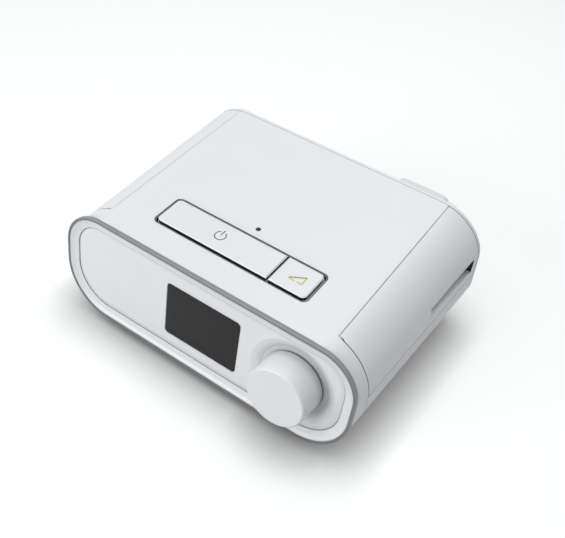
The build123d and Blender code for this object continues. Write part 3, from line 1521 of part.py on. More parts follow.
with BuildPart() as board_parts:
    parts_level = main_level + board_thickness + seat_gap
    board_rear = front_y + main_end
    board_front = front_y + main_start
    capacitor_spacing = main_width - 2 * capacitor_inset
    plug_spacing = main_width - 2 * plug_inset
    for side in (-1, 1):
        add(disc(Plane.XY, main_x + side * capacitor_spacing / 2, board_rear - capacitor_margin,
                 capacitor_radius,
                 parts_level, parts_level + capacitor_height))
        add(plate(Plane.XY, main_x + side * plug_spacing / 2, board_front + plug_margin, plug_width,
                  plug_depth,
                  parts_level, parts_level + plug_height))
    add(plate(Plane.XY, main_x, board_rear - choke_margin, choke_size, choke_size, parts_level,
              parts_level + choke_height))
    add(plate(Plane.XY, main_x, board_front + processor_margin, processor_size, processor_size, parts_level,
              parts_level + processor_height))
board_parts.part.label = "board_parts"
export_step(board_parts.part, "parts/board_parts.step")

# ---------------------------------------------------------------- fasteners, pins and feet
with BuildPart() as hinge_pins:
    for side in (-1, 1):
        add(hinge_rod(side, hinge_pin_radius, front_y + hinge_pin_start + seat_gap,
                      front_y + nose_start + hinge_pin_reach))
        pin_end = rear_top_y - rear_wall
        add(hinge_rod(side, hinge_pin_radius, pin_end - rear_band - hinge_pin_reach, pin_end))
hinge_pins.part.label = "hinge_pins"
export_step(hinge_pins.part, "parts/hinge_pins.step")

with BuildPart() as case_screws:
    for x, station in column_sites:
        add(disc(Plane.XY, x, front_y + station, screw_head_radius, screw_seat - screw_head_height,
                 screw_seat - seat_gap))
        add(disc(Plane.XY, x, front_y + station, screw_radius - seat_gap, screw_seat - seat_gap, screw_tip))
case_screws.part.label = "case_screws"
export_step(case_screws.part, "parts/case_screws.step")

with BuildPart() as rubber_feet:
    for x, station in foot_sites:
        foot_section = Plane(origin=(x, front_y + station, 0), x_dir=(1, 0, 0), z_dir=(0, -1, 0))
        add(turned(foot_section, [
            (0, 0),
            (foot_radius - foot_edge, 0),
            (foot_radius, foot_edge),
            (foot_radius, plinth_bottom + foot_recess - seat_gap),
            (0, plinth_bottom + foot_recess - seat_gap),
        ]))
rubber_feet.part.label = "rubber_feet"
export_step(rubber_feet.part, "parts/rubber_feet.step")
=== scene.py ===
"""Looks for the sleep-therapy air machine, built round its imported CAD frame. Metres, +X right, +Y to the
rear, +Z up, the floor at zero."""

import json
from math import cos, pi, radians, sin

import bmesh
import bpy
from mathutils import Euler, Matrix, Vector


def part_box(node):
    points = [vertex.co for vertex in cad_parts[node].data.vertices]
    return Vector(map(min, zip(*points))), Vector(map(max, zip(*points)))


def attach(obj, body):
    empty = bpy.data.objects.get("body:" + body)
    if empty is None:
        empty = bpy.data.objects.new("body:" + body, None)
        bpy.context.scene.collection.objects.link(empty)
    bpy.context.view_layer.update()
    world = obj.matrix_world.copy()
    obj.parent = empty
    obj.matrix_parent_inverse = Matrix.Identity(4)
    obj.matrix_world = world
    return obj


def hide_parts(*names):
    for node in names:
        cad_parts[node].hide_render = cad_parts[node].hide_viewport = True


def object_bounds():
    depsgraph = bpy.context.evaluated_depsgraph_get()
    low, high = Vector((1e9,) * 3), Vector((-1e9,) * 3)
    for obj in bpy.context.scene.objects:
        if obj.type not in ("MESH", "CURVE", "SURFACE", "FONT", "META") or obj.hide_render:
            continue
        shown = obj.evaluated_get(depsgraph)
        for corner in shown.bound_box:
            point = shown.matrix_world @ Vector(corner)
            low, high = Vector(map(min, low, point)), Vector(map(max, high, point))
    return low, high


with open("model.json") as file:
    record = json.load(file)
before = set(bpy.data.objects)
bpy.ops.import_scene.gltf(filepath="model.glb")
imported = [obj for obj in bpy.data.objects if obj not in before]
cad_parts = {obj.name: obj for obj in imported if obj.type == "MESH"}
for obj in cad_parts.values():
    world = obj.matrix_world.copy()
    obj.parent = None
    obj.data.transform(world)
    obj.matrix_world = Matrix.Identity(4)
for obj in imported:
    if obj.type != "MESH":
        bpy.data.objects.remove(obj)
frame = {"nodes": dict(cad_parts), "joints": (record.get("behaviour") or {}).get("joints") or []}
cad_low, cad_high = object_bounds()

# ---------------------------------------------------------------- studio
# A plain pale table top under soft light from above and from the front left. The camera and gloss see
# the room as white and the table lifted towards it. The table keeps a soft shadow round the housing from
# the lamps, deepened by a painted contact shadow that darkens its colour and lift close to the housing.
table_top = bpy.data.objects.new("table_top", bpy.data.meshes.new("table_top"))
table_form = bmesh.new()
bmesh.ops.create_grid(table_form, x_segments=1, y_segments=1, size=3.0)
table_form.to_mesh(table_top.data)
table_form.free()
bpy.context.collection.objects.link(table_top)


def seen_directly(tree):
    """A value of 1 where the camera or a reflection looks, and 0 for light that bounces."""
    path = tree.nodes.new("ShaderNodeLightPath")
    either = tree.nodes.new("ShaderNodeMath")
    either.operation = "MAXIMUM"
    tree.links.new(path.outputs["Is Camera Ray"], either.inputs[0])
    tree.links.new(path.outputs["Is Glossy Ray"], either.inputs[1])
    return either.outputs[0]


table_paint = bpy.data.materials.new("table_paint")
table_paint.use_nodes = True
table_tree = table_paint.node_tree
table_shader = table_tree.nodes["Principled BSDF"]
table_shader.inputs["Roughness"].default_value = 0.9
table_shader.inputs["Emission Color"].default_value = (1, 1, 1, 1)
table_lift = table_tree.nodes.new("ShaderNodeMath")
table_lift.operation = "MULTIPLY"
table_lift.inputs[1].default_value = 0.44
table_tree.links.new(seen_directly(table_tree), table_lift.inputs[0])
# Painted contact shadow: an occlusion pass darkens the table's colour and its lift close to the housing.
table_painted_shadow = table_tree.nodes.new("ShaderNodeAmbientOcclusion")
table_painted_shadow.inputs["Distance"].default_value = 0.030
table_painted_shadow.inputs["Color"].default_value = (0.62, 0.625, 0.62, 1)
table_tree.links.new(table_painted_shadow.outputs["Color"], table_shader.inputs["Base Color"])
table_glow = table_tree.nodes.new("ShaderNodeMath")
table_glow.operation = "MULTIPLY"
table_tree.links.new(table_lift.outputs[0], table_glow.inputs[0])
table_tree.links.new(table_painted_shadow.outputs["AO"], table_glow.inputs[1])
table_tree.links.new(table_glow.outputs[0], table_shader.inputs["Emission Strength"])
table_top.data.materials.append(table_paint)

room = bpy.data.worlds.new("room")
bpy.context.scene.world = room
room.use_nodes = True
room_light = room.node_tree.nodes["Background"]
room_light.inputs["Color"].default_value = (0.95, 0.97, 1.0, 1)
room_level = room.node_tree.nodes.new("ShaderNodeMapRange")
room_level.inputs["To Min"].default_value = 0.25
room_level.inputs["To Max"].default_value = 1.0
room.node_tree.links.new(seen_directly(room.node_tree), room_level.inputs["Value"])
room.node_tree.links.new(room_level.outputs["Result"], room_light.inputs["Strength"])


def softbox(name, place, size, power):
    """A square studio lamp that faces the middle of the machine."""
    lamp = bpy.data.lights.new(name, "AREA")
    lamp.size = size
    lamp.energy = power
    holder = bpy.data.objects.new(name, lamp)
    holder.location = place
    middle = Vector(((cad_low[0] + cad_high[0]) / 2, (cad_low[1] + cad_high[1]) / 2, cad_high[2] / 2))
    holder.rotation_euler = (middle - holder.location).to_track_quat("-Z", "Y").to_euler()
    bpy.context.collection.objects.link(holder)


softbox("overhead", (0.05, 0.34, 1.18), size=0.9, power=7.0)
softbox("crown", (-0.12, -0.45, 1.05), size=0.5, power=2.3)
softbox("front_left", (-0.52, -1.2, 0.42), size=0.8, power=8.8)

camera = bpy.data.cameras.new("camera")
camera.lens = 49.68
camera.sensor_width = 36.0
camera.clip_start = 0.01
viewer = bpy.data.objects.new("camera", camera)
viewer.location = (0.1752, -0.2883, 0.3332)
viewer.rotation_euler = Euler((radians(48.552), radians(-5.621), radians(34.889)))
bpy.context.collection.objects.link(viewer)
bpy.context.scene.camera = viewer
bpy.context.scene.view_settings.view_transform = "Standard"


# ---------------------------------------------------------------- shells
# Cover, base, rear panel and side doors: injection-moulded cool white plastic with a fine spark-eroded
# texture, clipped together and screwed from below.
def moulded(name, colour, roughness, grain=0.0004, depth=0.06, edge=0.0002, painted_shade=0.35):
    """Moulded plastic: a fine skin in the bump, softly rounded edges, and painted shade darkening its
    crevices.
    """
    material = bpy.data.materials.new(name)
    material.use_nodes = True
    nodes, links = material.node_tree.nodes, material.node_tree.links
    shader = nodes["Principled BSDF"]
    place = nodes.new("ShaderNodeTexCoord")
    cloud = nodes.new("ShaderNodeTexNoise")
    cloud.inputs["Scale"].default_value = 45.0
    cloud.inputs["Detail"].default_value = 3.0
    links.new(place.outputs["Object"], cloud.inputs["Vector"])
    tint = nodes.new("ShaderNodeMix")
    tint.data_type = "RGBA"
    tint.inputs["A"].default_value = (*(0.975 * c for c in colour), 1)
    tint.inputs["B"].default_value = (*colour, 1)
    links.new(cloud.outputs["Fac"], tint.inputs["Factor"])
    # Painted shade: an occlusion pass darkens the colour in crevices and hollows, mixed in by the factor
    # below.
    crevice = nodes.new("ShaderNodeAmbientOcclusion")
    crevice.inputs["Distance"].default_value = 0.006
    links.new(tint.outputs["Result"], crevice.inputs["Color"])
    shade = nodes.new("ShaderNodeMix")
    shade.data_type = "RGBA"
    shade.inputs["Factor"].default_value = painted_shade
    links.new(tint.outputs["Result"], shade.inputs["A"])
    links.new(crevice.outputs["Color"], shade.inputs["B"])
    links.new(shade.outputs["Result"], shader.inputs["Base Color"])
    rounding = nodes.new("ShaderNodeBevel")
    rounding.inputs["Radius"].default_value = edge
    skin = nodes.new("ShaderNodeTexNoise")
    skin.inputs["Scale"].default_value = 1 / grain
    skin.inputs["Detail"].default_value = 2.0
    links.new(place.outputs["Object"], skin.inputs["Vector"])
    gloss = nodes.new("ShaderNodeMapRange")
    gloss.inputs["To Min"].default_value = roughness - 0.04
    gloss.inputs["To Max"].default_value = roughness + 0.04
    links.new(skin.outputs["Fac"], gloss.inputs["Value"])
    links.new(gloss.outputs["Result"], shader.inputs["Roughness"])
    bump = nodes.new("ShaderNodeBump")
    bump.inputs["Strength"].default_value = depth
    bump.inputs["Distance"].default_value = grain / 4
    links.new(skin.outputs["Fac"], bump.inputs["Height"])
    links.new(rounding.outputs["Normal"], bump.inputs["Normal"])
    links.new(bump.outputs["Normal"], shader.inputs["Normal"])
    return material


def dress(material, *names):
    """Gives a finish to machine parts that keep their own shape."""
    for name in names:
        for holder in frame["nodes"][name].material_slots:
            holder.material = material


# Painted shade darkens the shells' crevices a little.
shell_white = moulded("shell_white", (0.80, 0.81, 0.835), 0.42)
dress(shell_white, "top_cover", "base_housing", "rear_panel", "left_side_door")

# ---------------------------------------------------------------- right door
# The filter door is one moulding with a sunken intake over its lower edge. A ramp falls from the front
# end to a mouth at the rear, where the room's air goes in to the filter. The mouth's walls and the ramp's
# rear end wall are painted near-black, painted shade of the opening.
bpy.context.view_layer.update()
plain_door = frame["nodes"]["left_side_door"]
door_low, door_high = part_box("right_filter_door")
door_middle = (door_low.y + door_high.y) / 2
upright_side = 0.0460           # the skin stands upright below this height
well_outside = 0.2              # where a ray towards the skin starts
merge_distance = 1e-6
crease = radians(28)


def door_skin(y, z):
    """Distance of a door's outer skin from the middle, the same on both sides."""
    start = Vector((-well_outside, y, max(z, upright_side)))
    return -plain_door.ray_cast(start, Vector((1, 0, 0)))[1].x


def shaped(name, form, material):
    """Turns a finished form into an object of the scene, with its material."""
    shape = bpy.data.objects.new(name, bpy.data.meshes.new(name))
    form.to_mesh(shape.data)
    form.free()
    shape.data.materials.append(material)
    bpy.context.collection.objects.link(shape)
    return shape


def fitted_block(name, ends, inner, outer, material):
    """A block between two upright ends (y, low z, high z), with inner and outer faces set by rules."""
    form = bmesh.new()
    bmesh.ops.create_cube(form, size=2)
    for vert in form.verts:
        y, *levels = ends[vert.co.y > 0]
        z = levels[vert.co.z > 0]
        vert.co = ((outer if vert.co.x > 0 else inner)(y, z), y, z)
    return shaped(name, form, material)


intake_front = (0.0122, 0.0506, 0.0555)
intake_rear = (0.0624, 0.0491, 0.0583)
intake_shallow = 0.0018
intake_deep = 0.0070
recess_outer = 0.12             # past the door's skin
tray_wall = 0.0014
tray_inset = 0.0012
mouth_length = 0.0095
mouth_overcut = 0.0003
mouth_lip = 0.0008
mouth_inner = 0.0800
scallop_half = 0.0090
plug_depth = 0.0023
hair = 0.00001                  # keeps the plug's outer face just under the skin
faces_rear = 0.9                # a face that points further to the rear than this is the end wall


def intake_ramp(y, z):
    """Floor of the intake: it falls evenly from its shallow front end to its deep rear end."""
    share = (y - intake_front[0]) / (intake_rear[0] - intake_front[0])
    return door_skin(y, upright_side) - intake_shallow - share * (intake_deep - intake_shallow)


# Near-black for the intake's mouth and its rear end wall: painted shade of the opening.
painted_mouth_shade = moulded("painted_mouth_shade", (0.006, 0.006, 0.007), 0.6)
tray_ends = tuple((y + side * tray_wall, low - tray_wall, high + tray_wall / 2)
                  for side, (y, low, high) in ((-1, intake_front), (1, intake_rear)))
scallop_ends = tuple((door_middle + side * scallop_half, door_low.z, upright_side) for side in (-1, 1))
mouth_ends = tuple((intake_rear[0] + ahead, intake_rear[1] + mouth_lip, intake_rear[2] - mouth_lip)
                   for ahead in (-mouth_length, mouth_overcut))
scallop_plug = fitted_block("scallop_plug", scallop_ends, lambda y, z: door_skin(y, z) - plug_depth,
                            lambda y, z: door_skin(y, z) - hair, shell_white)
intake_tray = fitted_block("intake_tray", tray_ends, lambda y, z: intake_ramp(y, z) - tray_wall,
                           lambda y, z: door_skin(y, z) - tray_inset, shell_white)
intake_recess = fitted_block("intake_recess", (intake_front, intake_rear), intake_ramp,
                             lambda y, z: recess_outer, shell_white)
intake_mouth = fitted_block("intake_mouth", mouth_ends, lambda y, z: mouth_inner,
                            lambda y, z: intake_ramp(y, z) + mouth_lip, painted_mouth_shade)
intake_steps = ((scallop_plug, "UNION"), (intake_tray, "UNION"),
                (intake_recess, "DIFFERENCE"), (intake_mouth, "DIFFERENCE"))
# The recess's rear end wall is painted near-black: painted shade at the back of the intake.
intake_recess.data.materials.append(painted_mouth_shade)
for side_face in intake_recess.data.polygons:
    if side_face.normal.y > faces_rear:
        side_face.material_index = 1

# The shell is the left door's, mirrored, and the plug fills the finger scallop in its lower edge.
door_form = bmesh.new()
door_form.from_mesh(plain_door.data)
bmesh.ops.remove_doubles(door_form, verts=door_form.verts, dist=merge_distance)
bmesh.ops.transform(door_form, matrix=Matrix.Scale(-1, 4, (1, 0, 0)), verts=door_form.verts)
bmesh.ops.recalc_face_normals(door_form, faces=door_form.faces)
door_draft = shaped("door_draft", door_form, shell_white)
for block, operation in intake_steps:
    carve = door_draft.modifiers.new(block.name, "BOOLEAN")
    carve.object = block
    carve.operation = operation
    carve.solver = "EXACT"
    carve.material_mode = "TRANSFER"
carved_door = door_draft.evaluated_get(bpy.context.evaluated_depsgraph_get())
door_mesh = bpy.data.meshes.new_from_object(carved_door)
for spent in (door_draft, *(block for block, _ in intake_steps)):
    bpy.data.objects.remove(spent)
door_mesh.shade_smooth()
door_mesh.set_sharp_from_angle(angle=crease)
intake_door = bpy.data.objects.new("intake_door", door_mesh)
bpy.context.collection.objects.link(intake_door)
door_shading = intake_door.modifiers.new("door_shading", "WEIGHTED_NORMAL")
door_shading.keep_sharp = True
door_shading.weight = 100
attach(intake_door, "right_door")
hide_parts("right_filter_door")

# ---------------------------------------------------------------- hinge noses
# The rounded hinge edge of each door runs on to its front corner as a short sleeve round the pin, so
# that no hole shows in the cover's groove.
nose_radius = 0.00178
nose_bore = 0.00085
nose_length = 0.0042
nose_setback = 0.0048           # of the sleeve's rear end, behind the door's front edge
nose_rear = door_low.y + nose_setback
nose_sides = 40

for side_name, door_node in (("left_door", "left_side_door"), ("right_door", "right_filter_door")):
    hinge = next(joint for joint in frame["joints"] if joint["name"] == side_name + "_hinge")
    hinge_line = Vector(hinge["axis"]) * (1 if hinge["axis"][1] > 0 else -1)
    hinge_spot = Vector(hinge["pos_m"])
    nose_end = hinge_spot + hinge_line * ((nose_rear - hinge_spot.y) / hinge_line.y)
    nose_form = bmesh.new()
    for radius in (nose_radius, nose_bore):
        bmesh.ops.create_circle(nose_form, cap_ends=False, radius=radius, segments=nose_sides)
    bmesh.ops.bridge_loops(nose_form, edges=nose_form.edges[:])
    drawn = bmesh.ops.extrude_face_region(nose_form, geom=nose_form.faces[:], use_keep_orig=True)
    bmesh.ops.translate(nose_form, vec=(0, 0, -nose_length),
                        verts=[vert for vert in drawn["geom"] if isinstance(vert, bmesh.types.BMVert)])
    bmesh.ops.recalc_face_normals(nose_form, faces=nose_form.faces[:])
    bmesh.ops.transform(nose_form, verts=nose_form.verts, matrix=Matrix.Translation(nose_end)
                        @ hinge_line.to_track_quat("Z", "Y").to_matrix().to_4x4())
    nose = shaped(side_name + "_nose", nose_form, shell_white)
    nose.data.shade_smooth()
    nose.data.set_sharp_from_angle(angle=crease)
    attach(nose, side_name)

# ---------------------------------------------------------------- front
# The bezel and faceplate are polished in the mould, and the trim between them and the shells is a
# satin grey strip. All three snap on to the carrier from the front.
# Strong painted shade darkens the crevices of the bezel and faceplate and the seat round the dial.
front_white = moulded("front_white", (0.80, 0.81, 0.83), 0.24, depth=0.02, edge=0.0012, painted_shade=0.7)
dress(front_white, "front_bezel_ring", "front_faceplate")


def painted_by_facing(material, direction, first, full, colour):
    """Paints light and shade into a plastic's colour: faces whose turn to a direction passes from first to
    full take the second colour.
    """
    tree = material.node_tree
    shader = tree.nodes["Principled BSDF"]
    facing = tree.nodes.new("ShaderNodeVectorMath")
    facing.operation = "DOT_PRODUCT"
    facing.inputs[1].default_value = direction
    tree.links.new(tree.nodes.new("ShaderNodeNewGeometry").outputs["True Normal"], facing.inputs[0])
    share = tree.nodes.new("ShaderNodeMapRange")
    share.inputs["From Min"].default_value = first
    share.inputs["From Max"].default_value = full
    tree.links.new(facing.outputs["Value"], share.inputs["Value"])
    tone = tree.nodes.new("ShaderNodeMix")
    tone.data_type = "RGBA"
    tone.inputs["B"].default_value = (*colour, 1)
    tree.links.new(share.outputs["Result"], tone.inputs["Factor"])
    tree.links.new(shader.inputs["Base Color"].links[0].from_socket, tone.inputs["A"])
    tree.links.new(tone.outputs["Result"], shader.inputs["Base Color"])
    return material


front_lean = radians(4.0)
front_normal = (0, -cos(front_lean), sin(front_lean))
# The trim's flat front is painted a darker grey than its sloping edges: a painted highlight along the edges.
trim_grey = moulded("trim_grey", (0.27, 0.275, 0.29), 0.30)
dress(painted_by_facing(trim_grey, front_normal, first=0.80, full=0.97, colour=(0.17, 0.172, 0.18)),
      "front_trim_ring")
dress(moulded("carrier_black", (0.035, 0.036, 0.04), 0.5), "front_carrier")

# ---------------------------------------------------------------- display
# A smoked lens over a dark display module. The lens is polished acrylic, so it mirrors the room softly,
# and the module behind it is a glass panel in a metal tray.
lens_black = moulded("lens_black", (0.006, 0.006, 0.0068), 0.12, grain=0.002, depth=0.004, painted_shade=0.0)
lens_black.node_tree.nodes["Principled BSDF"].inputs["Specular IOR Level"].default_value = 0.24
dress(lens_black, "display_lens")
dress(moulded("panel_glass", (0.02, 0.022, 0.025), 0.15), "display_module")
dress(moulded("smoked_guide", (0.02, 0.02, 0.022), 0.12), "light_sensor_window")

# ---------------------------------------------------------------- dial
# A hollow satin drum on a flatted steel shaft. The encoder behind it counts the turns and carries the
# push switch, and a thin nut holds its bushing in the faceplate.
# Painted shade darkens the dial's crevices.
dress(moulded("dial_white", (0.80, 0.81, 0.83), 0.36, depth=0.04, edge=0.0006, painted_shade=0.6), "dial_knob")


def machined(name, colour, roughness, streak=9.0):
    """Bare metal with fine tool marks drawn out along one direction."""
    material = bpy.data.materials.new(name)
    material.use_nodes = True
    nodes, links = material.node_tree.nodes, material.node_tree.links
    shader = nodes["Principled BSDF"]
    shader.inputs["Metallic"].default_value = 1.0
    place = nodes.new("ShaderNodeTexCoord")
    draw_out = nodes.new("ShaderNodeMapping")
    draw_out.inputs["Scale"].default_value = (1.0, 1.0, streak)
    links.new(place.outputs["Object"], draw_out.inputs["Vector"])
    marks = nodes.new("ShaderNodeTexNoise")
    marks.inputs["Scale"].default_value = 900.0
    marks.inputs["Detail"].default_value = 3.0
    links.new(draw_out.outputs["Vector"], marks.inputs["Vector"])
    tint = nodes.new("ShaderNodeMix")
    tint.data_type = "RGBA"
    tint.inputs["A"].default_value = (*(0.85 * c for c in colour), 1)
    tint.inputs["B"].default_value = (*colour, 1)
    links.new(marks.outputs["Fac"], tint.inputs["Factor"])
    links.new(tint.outputs["Result"], shader.inputs["Base Color"])
    gloss = nodes.new("ShaderNodeMapRange")
    gloss.inputs["To Min"].default_value = roughness - 0.08
    gloss.inputs["To Max"].default_value = roughness + 0.08
    links.new(marks.outputs["Fac"], gloss.inputs["Value"])
    links.new(gloss.outputs["Result"], shader.inputs["Roughness"])
    return material


steel = machined("turned_steel", (0.56, 0.57, 0.58), 0.28)
dress(steel, "dial_shaft", "encoder_nut")
dress(machined("encoder_can", (0.66, 0.67, 0.68), 0.4), "dial_encoder")
dress(moulded("pusher_nylon", (0.10, 0.10, 0.105), 0.5), "encoder_pusher")

# ---------------------------------------------------------------- roof buttons
# Two satin caps in a black frame with a grey line round its top, over a board with tact switches. Each
# cap carries a printed sign: an open ring with a bar for standby, and a wedge for the pressure ramp.
roof_slope = radians(6.1)
roof_normal = Vector((0, -sin(roof_slope), cos(roof_slope)))
key_white = moulded("key_white", (0.80, 0.81, 0.83), 0.33, depth=0.03, edge=0.0001, painted_shade=0.0)
# The caps' side walls are painted near-black: painted shade in the gap round each cap.
dress(painted_by_facing(key_white, roof_normal, first=0.5, full=0.3, colour=(0.010, 0.010, 0.011)),
      "therapy_button", "ramp_button")
dress(moulded("frame_black", (0.010, 0.010, 0.011), 0.42), "button_frame")
dress(moulded("switch_black", (0.03, 0.03, 0.032), 0.45), "button_switches")

ink_height = 0.00003


def printed(name, form, cap, place, ink, body):
    """Lays a flat printed sign on a button's crown, at a place given in plan."""
    bmesh.ops.solidify(form, geom=form.faces[:], thickness=ink_height)
    bmesh.ops.recalc_face_normals(form, faces=form.faces[:])
    cap_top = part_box(cap)[1][2]
    above = Vector((*place, 2 * cap_top))
    _, crown, upright, _ = frame["nodes"][cap].ray_cast(above, Vector((0, 0, -1)))
    across = Vector((1, 0, 0))
    along = upright.cross(across)
    turn = Matrix((across, along, upright)).transposed().to_4x4()
    bmesh.ops.transform(form, verts=form.verts[:],
                        matrix=Matrix.Translation(crown + upright * ink_height) @ turn)
    sign = shaped(name, form, ink)
    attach(sign, body)


def stroke(form, start, end, width):
    """Adds one straight printed line between two points of a sign."""
    run = Vector(end) - Vector(start)
    middle = (Vector(start) + Vector(end)) / 2
    turn = Matrix.Rotation(Vector((1, 0)).angle_signed(run), 4, "Z").inverted()
    size = Matrix.Diagonal((run.length, width, 1, 1))
    bmesh.ops.create_grid(form, x_segments=1, y_segments=1, size=0.5,
                          matrix=Matrix.Translation((*middle, 0)) @ turn @ size)


bpy.context.view_layer.update()

rim_recess = 0.00028
rim_slack = 1e-5
faces_up = 0.99                 # the frame's top faces point at least this far along the roof's normal
rim_line = bmesh.new()
rim_line.from_mesh(frame["nodes"]["button_frame"].data)
bmesh.ops.remove_doubles(rim_line, verts=rim_line.verts, dist=merge_distance)
rim_line.normal_update()
rim_level = max(vert.co.dot(roof_normal) for vert in rim_line.verts)
bmesh.ops.delete(rim_line, context="FACES", geom=[
    face for face in rim_line.faces if face.normal.dot(roof_normal) < faces_up
    or face.calc_center_median().dot(roof_normal) < rim_level - rim_slack])
rim_band = bmesh.ops.inset_region(rim_line, faces=rim_line.faces[:], thickness=rim_recess, use_boundary=True,
                                  use_even_offset=True)
bmesh.ops.delete(rim_line, geom=rim_band["faces"], context="FACES")
bmesh.ops.solidify(rim_line, geom=rim_line.faces[:], thickness=ink_height)
bmesh.ops.translate(rim_line, verts=rim_line.verts, vec=roof_normal * ink_height)
bmesh.ops.recalc_face_normals(rim_line, faces=rim_line.faces[:])
frame_line = shaped("frame_line", rim_line, moulded("rim_grey", (0.30, 0.305, 0.32), 0.4, painted_shade=0.0))
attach(frame_line, "housing")

standby_place = (-0.0122, -0.0321)
standby_radius = 0.0031
standby_width = 0.00062
standby_gap = radians(58)
standby_steps = 40
bar_foot = standby_radius * 0.15
bar_head = standby_radius * 1.45

standby_form = bmesh.new()
arc_start = pi / 2 + standby_gap / 2
arc_turn = Matrix.Rotation(arc_start, 3, "Z")
arc_ends = [standby_form.verts.new(arc_turn @ Vector((standby_radius + side * standby_width / 2, 0, 0)))
            for side in (-1, 1)]
arc_edge = standby_form.edges.new(arc_ends)
bmesh.ops.spin(standby_form, geom=[*arc_ends, arc_edge], cent=(0, 0, 0), axis=(0, 0, 1),
               angle=2 * pi - standby_gap, steps=standby_steps)
stroke(standby_form, (0, bar_foot), (0, bar_head), standby_width)
printed("standby_sign", standby_form, "therapy_button", standby_place,
        moulded("sign_slate", (0.075, 0.11, 0.15), 0.5, painted_shade=0.0), "therapy_key")

wedge_place = (0.0373, -0.0325)
wedge_width = 0.0079
wedge_height = 0.0052
wedge_break = (-0.0004, 0.0010)
wedge_line = 0.00058
wedge_bold = 0.00090
wedge_left = -wedge_width / 2
wedge_right = wedge_width / 2
wedge_low = -wedge_height / 2
wedge_high = wedge_height / 2

wedge_form = bmesh.new()
stroke(wedge_form, (wedge_left, wedge_low), (wedge_break[0], wedge_low), wedge_line)
stroke(wedge_form, (wedge_break[1], wedge_low), (wedge_right, wedge_low), wedge_line)
stroke(wedge_form, (wedge_right, wedge_low - wedge_line / 2), (wedge_right, wedge_high), wedge_line)
printed("wedge_outline", wedge_form, "ramp_button", wedge_place,
        moulded("sign_lime", (0.50, 0.52, 0.02), 0.5, painted_shade=0.0), "ramp_key")
slope_form = bmesh.new()
stroke(slope_form, (wedge_left, wedge_low + wedge_line), (wedge_right, wedge_high), wedge_bold)
printed("wedge_slope", slope_form, "ramp_button", wedge_place,
        moulded("sign_olive", (0.33, 0.36, 0.02), 0.5, painted_shade=0.0), "ramp_key")

# ---------------------------------------------------------------- rear fittings
# The breathing-tube outlet is a smooth white spigot on a soft silicone seal. The power socket and the
# humidifier's contact block are black inserts in the rear panel.
dress(moulded("spigot_white", (0.78, 0.79, 0.81), 0.26, depth=0.02), "air_outlet_port")
dress(moulded("seal_silicone", (0.62, 0.63, 0.63), 0.55), "outlet_seal", "outlet_duct")
dress(moulded("socket_black", (0.025, 0.025, 0.027), 0.42), "power_inlet", "humidifier_connector")

# ---------------------------------------------------------------- side bays
# Pale trays behind the doors. The right one holds the grey filter frame with its two felts, and the
# left one the card slot and the socket for a plug-in module.
dress(moulded("liner_grey", (0.52, 0.53, 0.55), 0.5), "filter_bay", "accessory_bay")
dress(moulded("filter_grey", (0.30, 0.31, 0.32), 0.48), "filter_frame")
dress(moulded("slot_black", (0.03, 0.03, 0.033), 0.46), "card_slot", "accessory_socket")
dress(moulded("card_blue", (0.03, 0.05, 0.10), 0.38), "memory_card")


def felted(name, colour, fibre, depth):
    """Pressed fibre: tangled threads in the colour and the bump, and a little fuzz at the edges."""
    material = bpy.data.materials.new(name)
    material.use_nodes = True
    nodes, links = material.node_tree.nodes, material.node_tree.links
    shader = nodes["Principled BSDF"]
    shader.inputs["Roughness"].default_value = 0.95
    shader.inputs["Sheen Weight"].default_value = 0.3
    place = nodes.new("ShaderNodeTexCoord")
    tangle = nodes.new("ShaderNodeTexNoise")
    tangle.inputs["Scale"].default_value = 1 / fibre
    tangle.inputs["Detail"].default_value = 6.0
    tangle.inputs["Distortion"].default_value = 2.5
    links.new(place.outputs["Object"], tangle.inputs["Vector"])
    tint = nodes.new("ShaderNodeMix")
    tint.data_type = "RGBA"
    tint.inputs["A"].default_value = (*(0.72 * c for c in colour), 1)
    tint.inputs["B"].default_value = (*colour, 1)
    links.new(tangle.outputs["Fac"], tint.inputs["Factor"])
    links.new(tint.outputs["Result"], shader.inputs["Base Color"])
    bump = nodes.new("ShaderNodeBump")
    bump.inputs["Strength"].default_value = depth
    bump.inputs["Distance"].default_value = fibre / 2
    links.new(tangle.outputs["Fac"], bump.inputs["Height"])
    links.new(bump.outputs["Normal"], shader.inputs["Normal"])
    return material


dress(felted("pollen_felt", (0.30, 0.33, 0.38), 0.0009, 0.8), "pollen_filter")
dress(felted("fine_felt", (0.80, 0.81, 0.80), 0.0004, 0.4), "fine_filter")

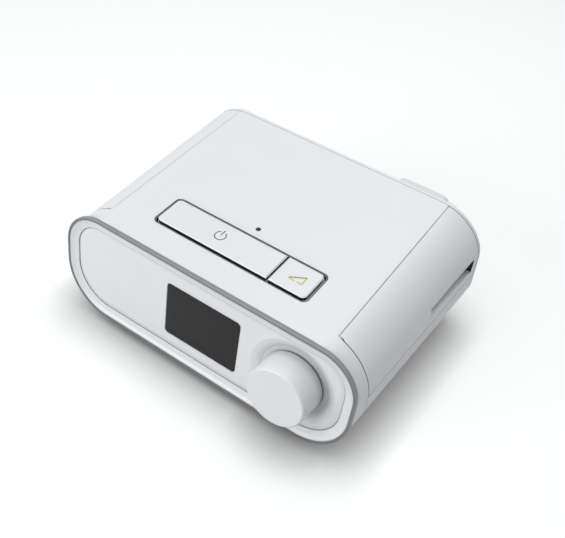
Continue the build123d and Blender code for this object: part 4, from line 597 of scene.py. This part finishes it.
# ---------------------------------------------------------------- blower
# A pale moulded air box lined with grey foam holds the spiral housing and its vaned wheel. The motor
# under it has a wound core in an aluminium can, on soft rubber mounts.
dress(moulded("airbox_grey", (0.55, 0.57, 0.59), 0.45), "air_box", "air_box_lid", "intake_duct")
dress(moulded("spiral_grey", (0.66, 0.68, 0.70), 0.3), "volute_base", "volute_cover", "impeller")
dress(felted("box_foam", (0.16, 0.165, 0.18), 0.0018, 1.0), "intake_foam")
dress(steel, "motor_shaft", "motor_bearings")
dress(machined("rotor_magnet", (0.22, 0.22, 0.23), 0.45), "motor_rotor")
dress(machined("wound_core", (0.60, 0.32, 0.16), 0.38, streak=30.0), "motor_stator")
dress(machined("motor_can", (0.70, 0.71, 0.72), 0.35), "motor_housing")
dress(moulded("mount_rubber", (0.04, 0.04, 0.042), 0.75, grain=0.0008, depth=0.2), "blower_mounts")
dress(moulded("sensor_black", (0.03, 0.03, 0.032), 0.4), "flow_sensor")


# ---------------------------------------------------------------- circuit boards
# Green boards with fine tracks under the solder mask, staked to posts. The taller components stand on
# the main board.
def tracked(name, mask, track):
    """Circuit board: rows of fine tracks show as paler lines under the green mask."""
    material = bpy.data.materials.new(name)
    material.use_nodes = True
    nodes, links = material.node_tree.nodes, material.node_tree.links
    shader = nodes["Principled BSDF"]
    shader.inputs["Roughness"].default_value = 0.35
    place = nodes.new("ShaderNodeTexCoord")
    rows = nodes.new("ShaderNodeTexBrick")
    rows.inputs["Scale"].default_value = 260.0
    rows.inputs["Mortar Size"].default_value = 0.03
    rows.inputs["Color1"].default_value = (*mask, 1)
    rows.inputs["Color2"].default_value = (*(1.25 * c for c in mask), 1)
    rows.inputs["Mortar"].default_value = (*track, 1)
    links.new(place.outputs["Object"], rows.inputs["Vector"])
    links.new(rows.outputs["Color"], shader.inputs["Base Color"])
    bump = nodes.new("ShaderNodeBump")
    bump.inputs["Strength"].default_value = 0.2
    bump.inputs["Distance"].default_value = 0.00003
    links.new(rows.outputs["Fac"], bump.inputs["Height"])
    links.new(bump.outputs["Normal"], shader.inputs["Normal"])
    return material


dress(tracked("board_green", (0.012, 0.10, 0.045), (0.05, 0.22, 0.09)), "control_board", "button_board",
      "main_board")
dress(moulded("component_black", (0.035, 0.035, 0.038), 0.4), "board_parts")

# ---------------------------------------------------------------- pins, screws and feet
# Steel hinge pins and self-tapping case screws, and four dark rubber feet pressed into the base.
dress(steel, "hinge_pins", "case_screws")
dress(moulded("foot_rubber", (0.045, 0.045, 0.048), 0.8, grain=0.0007, depth=0.25), "rubber_feet")
